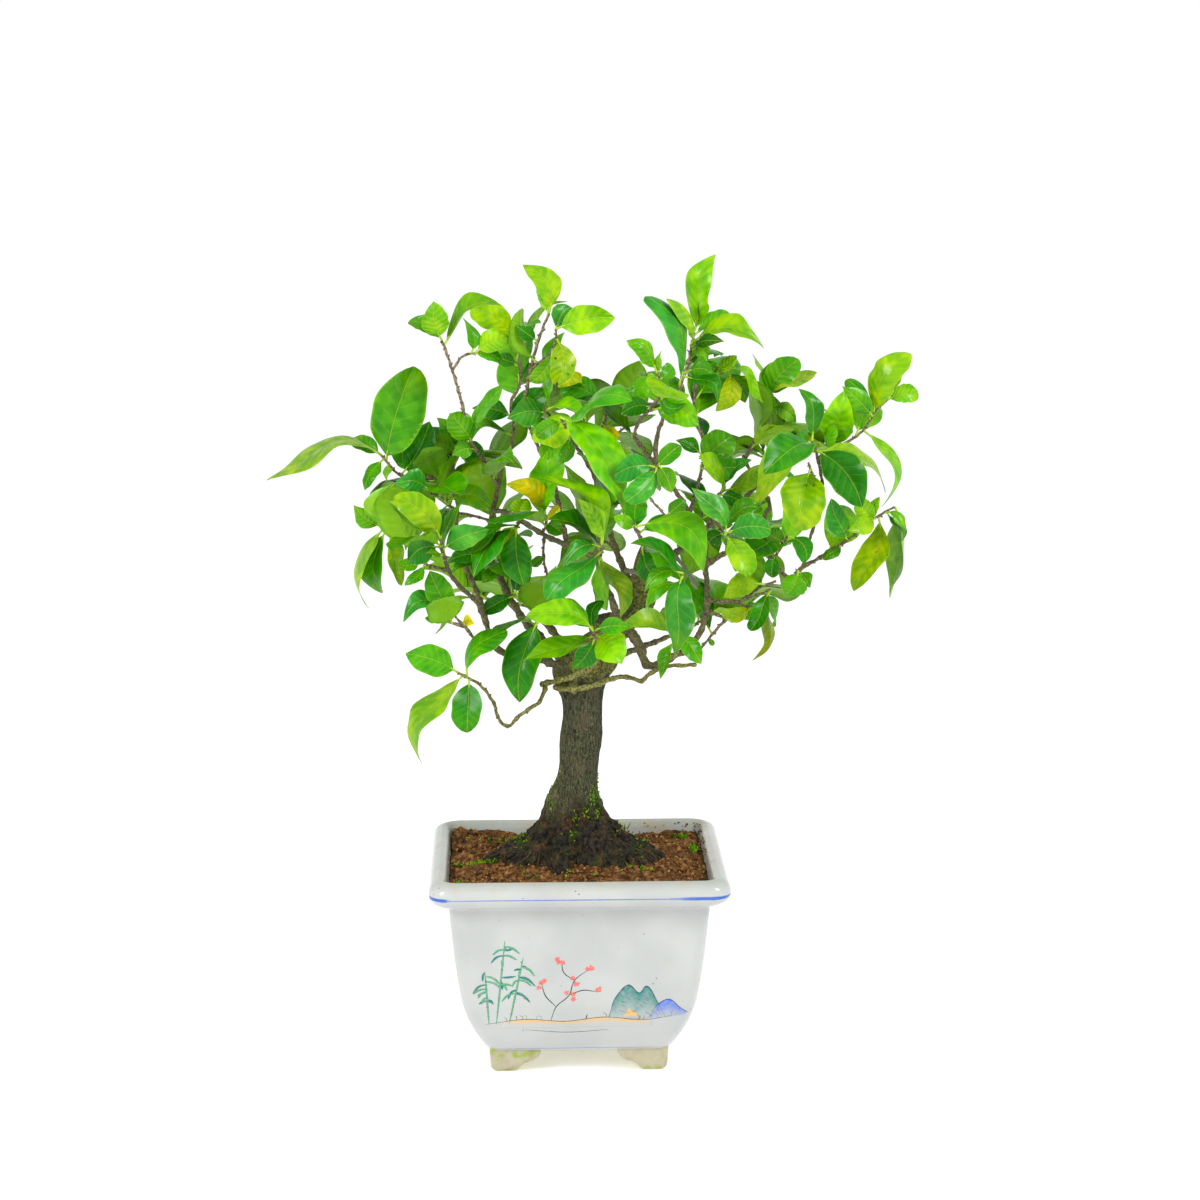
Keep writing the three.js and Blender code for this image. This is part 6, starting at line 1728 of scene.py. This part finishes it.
def blossom_parts(x, z, random):
    """One small blossom of five petals near a place."""
    x, z = x + random.uniform(-3, 3), z + random.uniform(-2.5, 2.5)
    for petal in range(5):
        turn = petal * TURN / 5 + random.uniform(0, 1)
        yield stroke([(x, z), (x + 1.6 * math.cos(turn), z + 1.6 * math.sin(turn))], 1.2, CORAL, 0.9)


def painting_parts():
    """A garden in thin enamel: bamboo, blossom, two rocks and grass on a bank; and two lines."""
    random = np.random.default_rng(12)
    bank = [(-52, 33), (-30, 36), (-8, 34.5), (14, 37), (36, 35), (56, 39)]
    parts = [stroke([(left, height), (right, height)], width, BLUE, strength)
             for left, right, height, width, strength in POT_LINES]
    parts.append(wash([(-44, 30), (40, 31)], bank, OCHRE, 1.6))
    parts += [stroke(bank, 0.45, INK), stroke([(-30, 29), (-8, 27), (16, 28.5)], 0.35, INK)]
    rocks = [([(16, 36), (20, 50), (27, 57), (33, 52), (36, 56), (43, 46), (47, 37)], TEAL),
             ([(38, 36), (43, 45), (49, 48), (55, 43), (60, 39)], BLUE)]
    for outline, color in rocks:
        foot = [(x, z - 1) for x, z in (outline[0], outline[-1])]
        parts += [wash(foot, outline, color, 0.9), stroke(outline, 0.45, INK)]
    parts.append(wash([(24, 37), (33, 37)], [(24, 37), (27, 43), (33, 37.5)], OCHRE, 0.2))
    for _ in range(26):
        x, z = random.uniform(19, 45), random.uniform(39, 50)
        if z < np.interp(x, *zip(*rocks[0][0])) - 2:
            parts.append(stroke([(x, z), (x + 0.8, z - 1), (x + 2.4, z - 1.6)], 0.4, INK))
    for base, top, lean in [(-46, 84, 5), (-39, 74, 8), (-50, 66, -2)]:
        parts += bamboo_parts(base, top, lean, random)
    branches = [[(-16, 35), (-13, 44), (-6, 51), (-3, 60), (4, 66)], [(-6, 51), (2, 54), (9, 53)],
                [(-13, 44), (-19, 51), (-21, 58)], [(-3, 60), (-9, 65), (-10, 71)]]
    parts += [stroke(branch, 0.6, INK) for branch in branches]
    for x, z in [place for branch in branches for place in branch[2:] for _ in range(3)]:
        parts += blossom_parts(x, z, random)
    for _ in range(24):
        x = random.uniform(-52, 54)
        z = np.interp(x, *zip(*bank))
        blade = [(x, z), (x + 0.5, z + 1.6), (x + random.uniform(-2, 2), z + 3)]
        parts.append(stroke(blade, 0.3, INK if random.random() < 0.5 else GREEN))
    return parts


def make_pot(material):
    """The pot and the paint on its front."""
    piece("pot_look", [bowl_part(), feet_part()], [material], ["pot"])
    piece("pot_painting", painting_parts(), [material])


def soil_height(x, y):
    """The soil's height at places on it, a little heaped towards its back left corner."""
    share = ((np.abs(x) / SOIL_HALF_LENGTH) ** 4 + (np.abs(y) / SOIL_HALF_DEPTH) ** 4) ** 0.25
    level = SOIL_EDGE + (SOIL_CROWN - SOIL_EDGE) * np.interp(share, *zip(*SOIL_MOUND[::-1]))
    return level + 3.4 * np.exp(-((x + 66) / 22) ** 2 - ((y - 52) / 20) ** 2)


def crumbs(points, seed):
    """Crumbs about CRUMB millimetres across: how high each point stands, and its crumb's number."""
    rows = []
    for point in points:
        distances, middles = noise.voronoi(Vector(point) / CRUMB + Vector((seed, 0, 0)))
        rows.append(((distances[1] - distances[0]) ** 0.6, noise.noise(middles[0] * 7.3)))
    return np.array(rows).T


def soil_bed():
    """The bed of soil. Its crumbly top is modelled, and it fills the pot down to the drain mesh."""
    rows = [(45, INNER_FLOOR + 1.6), *POT_INSIDE[-2:1:-1], (SOIL_HALF_LENGTH + 0.1, SOIL_EDGE - 1.5)]
    below = [pot_ring(half_length - 0.5, height, INNER_CORNER, 6, SOIL_RUNS)
             for half_length, height in rows]
    top = np.concatenate([
        rounded_ring(SOIL_HALF_LENGTH * share, SOIL_HALF_DEPTH * share, SOIL_CORNER * share, 0, 6,
                     SOIL_RUNS) for share in np.linspace(1, 0.3, SOIL_RINGS)])
    top[:, 2] = soil_height(top[:, 0], top[:, 1]) - 0.9
    rise, number = crumbs(top * (1, 1, 0), 0)
    small, _ = crumbs(top * (1.9, 1.9, 0), 5)
    top[:, 2] += 2.0 * rise + 0.8 * small + 1.9 * ripple(top, 9) + 1.3 * ripple(top, 4)
    rings = np.concatenate([below, top.reshape(SOIL_RINGS, -1, 3)])
    bed = loft(rings, (INNER_FLOOR + 1.6) * UP, (SOIL_CROWN - 2) * UP)
    order = np.argsort(np.argsort(number)) / len(number)
    kinds = np.searchsorted(np.cumsum(CLAY_SHARES)[:-1], order)
    # Painted shade: each crumb's tone is darker towards the cracks between the crumbs.
    crevice_shade = (0.3 + 0.8 * np.clip(rise * 1.3, 0, 1))[:, None]
    tones = np.tile([*CLAY[3], 1.0], (len(bed.points), 1))
    tones[-len(top) - 2:-2, :3] = np.array(CLAY)[kinds] * crevice_shade
    return bed.give(tone=tones)


def pebble_shape():
    """A rounded lump of 24 quads, 1 mm in radius."""
    grid = [(x, y, z) for x in (-1, 0, 1) for y in (-1, 0, 1) for z in (-1, 0, 1) if x or y or z]
    quads = []
    for axis in range(3):
        for sign in (-1, 1):
            for u, v in [(-1, -1), (-1, 0), (0, -1), (0, 0)]:
                corners = [(u, v), (u + 1, v), (u + 1, v + 1), (u, v + 1)]
                face = [grid.index(tuple(np.insert(corner, axis, sign))) for corner in corners[::sign]]
                quads.append(face[::-1] if axis == 1 else face)
    return unit(np.array(grid, float)), np.array(quads)


def lumps_part(places, sizes, colors, random, roughness):
    """Many small lumps, each with its own turn, shape and colour."""
    shape, quads = pebble_shape()
    count = len(places)
    turns = np.linalg.qr(random.normal(size=(count, 3, 3)))[0]
    turns *= np.sign(np.linalg.det(turns))[:, None, None]
    stretch = random.uniform(0.6, 1.2, (count, 1, 3))
    bumps = 1 + roughness * random.uniform(-1, 1, (count, len(shape), 1))
    lumps = np.einsum("cij,cpj->cpi", turns, shape * bumps * stretch) * sizes[:, None, None]
    points = (lumps + places[:, None]).reshape(-1, 3)
    faces = (quads + np.arange(count)[:, None, None] * len(shape)).reshape(-1, 4)
    tones = np.column_stack([np.repeat(colors, len(shape), axis=0), np.ones(len(points))])
    return Part(points, faces).give(tone=tones)


def is_outside(x, y, clearing):
    """Whether places on the soil are outside an oval clearing, given by half its size."""
    return np.hypot(x / clearing[0], y / clearing[1]) > 1


def crumb_parts(random):
    """Loose crumbs on the soil, and stray ones on the pot's inner wall at the back right."""
    x, y = [random.uniform(-half + 1.5, half - 1.5, LOOSE_CRUMBS)
            for half in (SOIL_HALF_LENGTH, SOIL_HALF_DEPTH)]
    keep = is_outside(x, y, BARE_OF_CRUMBS)
    x, y = x[keep], y[keep]
    z = soil_height(x, y) + random.uniform(-0.5, 1.0, len(x))
    sizes = random.uniform(0.4, 1.1, len(x)) * random.choice([0.7, 1, 1.25], len(x))
    colors = np.array(CLAY)[random.choice(len(CLAY), len(x), p=CLAY_SHARES)]
    colors = np.clip(colors * random.uniform(0.8, 1.25, (len(x), 1)), 0, 1)
    loose = lumps_part(np.stack([x, y, z], axis=-1), sizes, colors, random, 0.22)
    lengths, heights = zip(*POT_INSIDE[1::-1])
    wall = np.concatenate([pot_ring(np.interp(height, heights, lengths), height, INNER_CORNER, 8, 60)
                           for height in range(112, 118)])
    wall = wall[(wall[:, 0] > 20) & (wall[:, 1] > 0)]
    wall = wall[random.choice(len(wall), STRAY_CRUMBS)]
    wall = wall + random.uniform(-0.4, 0.4, wall.shape)
    sizes = random.uniform(0.25, 0.7, STRAY_CRUMBS)
    return [loose, lumps_part(wall, sizes, colors[:STRAY_CRUMBS], random, 0.3)]


def moss_parts(random):
    """Moss on the soil, clear of the roots, and a few blades of grass in front of the trunk."""
    x, y = np.concatenate([
        random.normal(size=(count, 2)) * (half_x / 2, half_y / 2) + (middle_x, middle_y)
        for middle_x, middle_y, half_x, half_y, count in MOSS_PATCHES]).T
    keep = (np.abs(x) < SOIL_HALF_LENGTH - 2) & (np.abs(y) < SOIL_HALF_DEPTH - 2)
    keep &= is_outside(x, y, BARE_OF_MOSS)
    places = np.column_stack([x, y, soil_height(x, y) + 0.8])[keep]
    yield from tuft_parts(places, np.tile(UP, (len(places), 1)), 1.1, random)
    yield from tuft_parts(place_seen([GRASS_PLACE]), UP[None], 2.0, random)


def make_soil(material):
    """The soil with its loose crumbs and its moss."""
    random = np.random.default_rng(5)
    piece("soil_look", [soil_bed(), *crumb_parts(random)], [material], ["soil"])
    piece("soil_moss", list(moss_parts(random)), [material])


def make_floor():
    """A wide plain floor under the plant."""
    reach = 12.0
    mesh = bpy.data.meshes.new("floor")
    corners = [(reach * sign_x, reach * sign_y, 0) for sign_x, sign_y in QUARTERS]
    mesh.from_pydata(corners, [], [(0, 1, 2, 3)])
    mesh.materials.append(floor_material())
    floor = add_object("floor", mesh)


def make_box(name, place, aim, size, power):
    """A soft box that shines from one place at another, both in metres from the pot's middle."""
    data = bpy.data.lights.new(name, "AREA")
    data.shape = "DISK"
    data.size = size
    data.energy = power
    light = add_object(name, data)
    light.location = Vector(place) + Vector(POT_PLACE)
    light.rotation_euler = (Vector(aim) - Vector(place)).to_track_quat("-Z", "Y").to_euler()


def make_sky(aim, spread, strength):
    """A large, distant soft light that shines along aim."""
    data = bpy.data.lights.new("sky_light", "SUN")
    data.angle = math.radians(spread)
    data.energy = strength
    light = add_object("sky_light", data)
    light.rotation_euler = Vector(aim).to_track_quat("-Z", "Y").to_euler()


def make_world():
    """White surroundings, dimmer overhead so that the lights there can shape the leaves."""
    world = bpy.data.worlds.new("studio")
    world.use_nodes = True
    nodes, links = world.node_tree.nodes, world.node_tree.links
    background = nodes["Background"]
    background.inputs["Color"].default_value = (1, 1, 1, 1)
    spot = nodes.new("ShaderNodeTexCoord")
    parts = nodes.new("ShaderNodeSeparateXYZ")
    level = nodes.new("ShaderNodeMapRange")
    for name, value in (("From Min", 0.2), ("From Max", 0.6), ("To Min", 1.0), ("To Max", 0.55)):
        level.inputs[name].default_value = value
    links.new(spot.outputs["Generated"], parts.inputs[0])
    links.new(parts.outputs["Z"], level.inputs["Value"])
    links.new(level.outputs[0], background.inputs["Strength"])
    bpy.context.scene.world = world


def make_camera():
    """The photograph's camera, at EYE."""
    data = bpy.data.cameras.new("photograph")
    data.lens = LENS
    data.sensor_width = SENSOR
    camera = add_object("photograph", data)
    camera.location = Vector(POT_PLACE) + Vector(EYE * MM)
    camera.rotation_euler = (math.radians(90 - LOOKS_DOWN), 0, math.radians(-LOOKS_RIGHT))
    bpy.context.scene.camera = camera


def make_studio():
    """White surroundings, soft light from above and in front, and the photograph's camera."""
    bpy.context.scene.view_settings.view_transform = "Standard"
    make_world()
    make_floor()
    make_sky((0.05, 0.35, -1), 130, 0.6)
    make_box("left_box", (-0.9, -0.8, 0.9), (0, 0, 0.3), 0.5, 9)
    make_box("right_box", (0.8, -0.6, 1.0), (0, 0, 0.3), 0.4, 7.5)
    make_camera()


def main():
    """Make every piece, the studio and the camera."""
    bark = bark_material()
    leaf = leaf_material()
    for seed, (name, leaves) in enumerate(grow_crown().items(), 1):
        make_spray(name, leaves, seed, [leaf, bark])
    soil = soil_material()
    make_trunk(bark, soil)
    make_pot(glaze_material())
    make_soil(soil)
    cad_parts["drain_mesh"].data.materials.clear()
    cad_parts["drain_mesh"].data.materials.append(mesh_material())
    make_studio()


main()
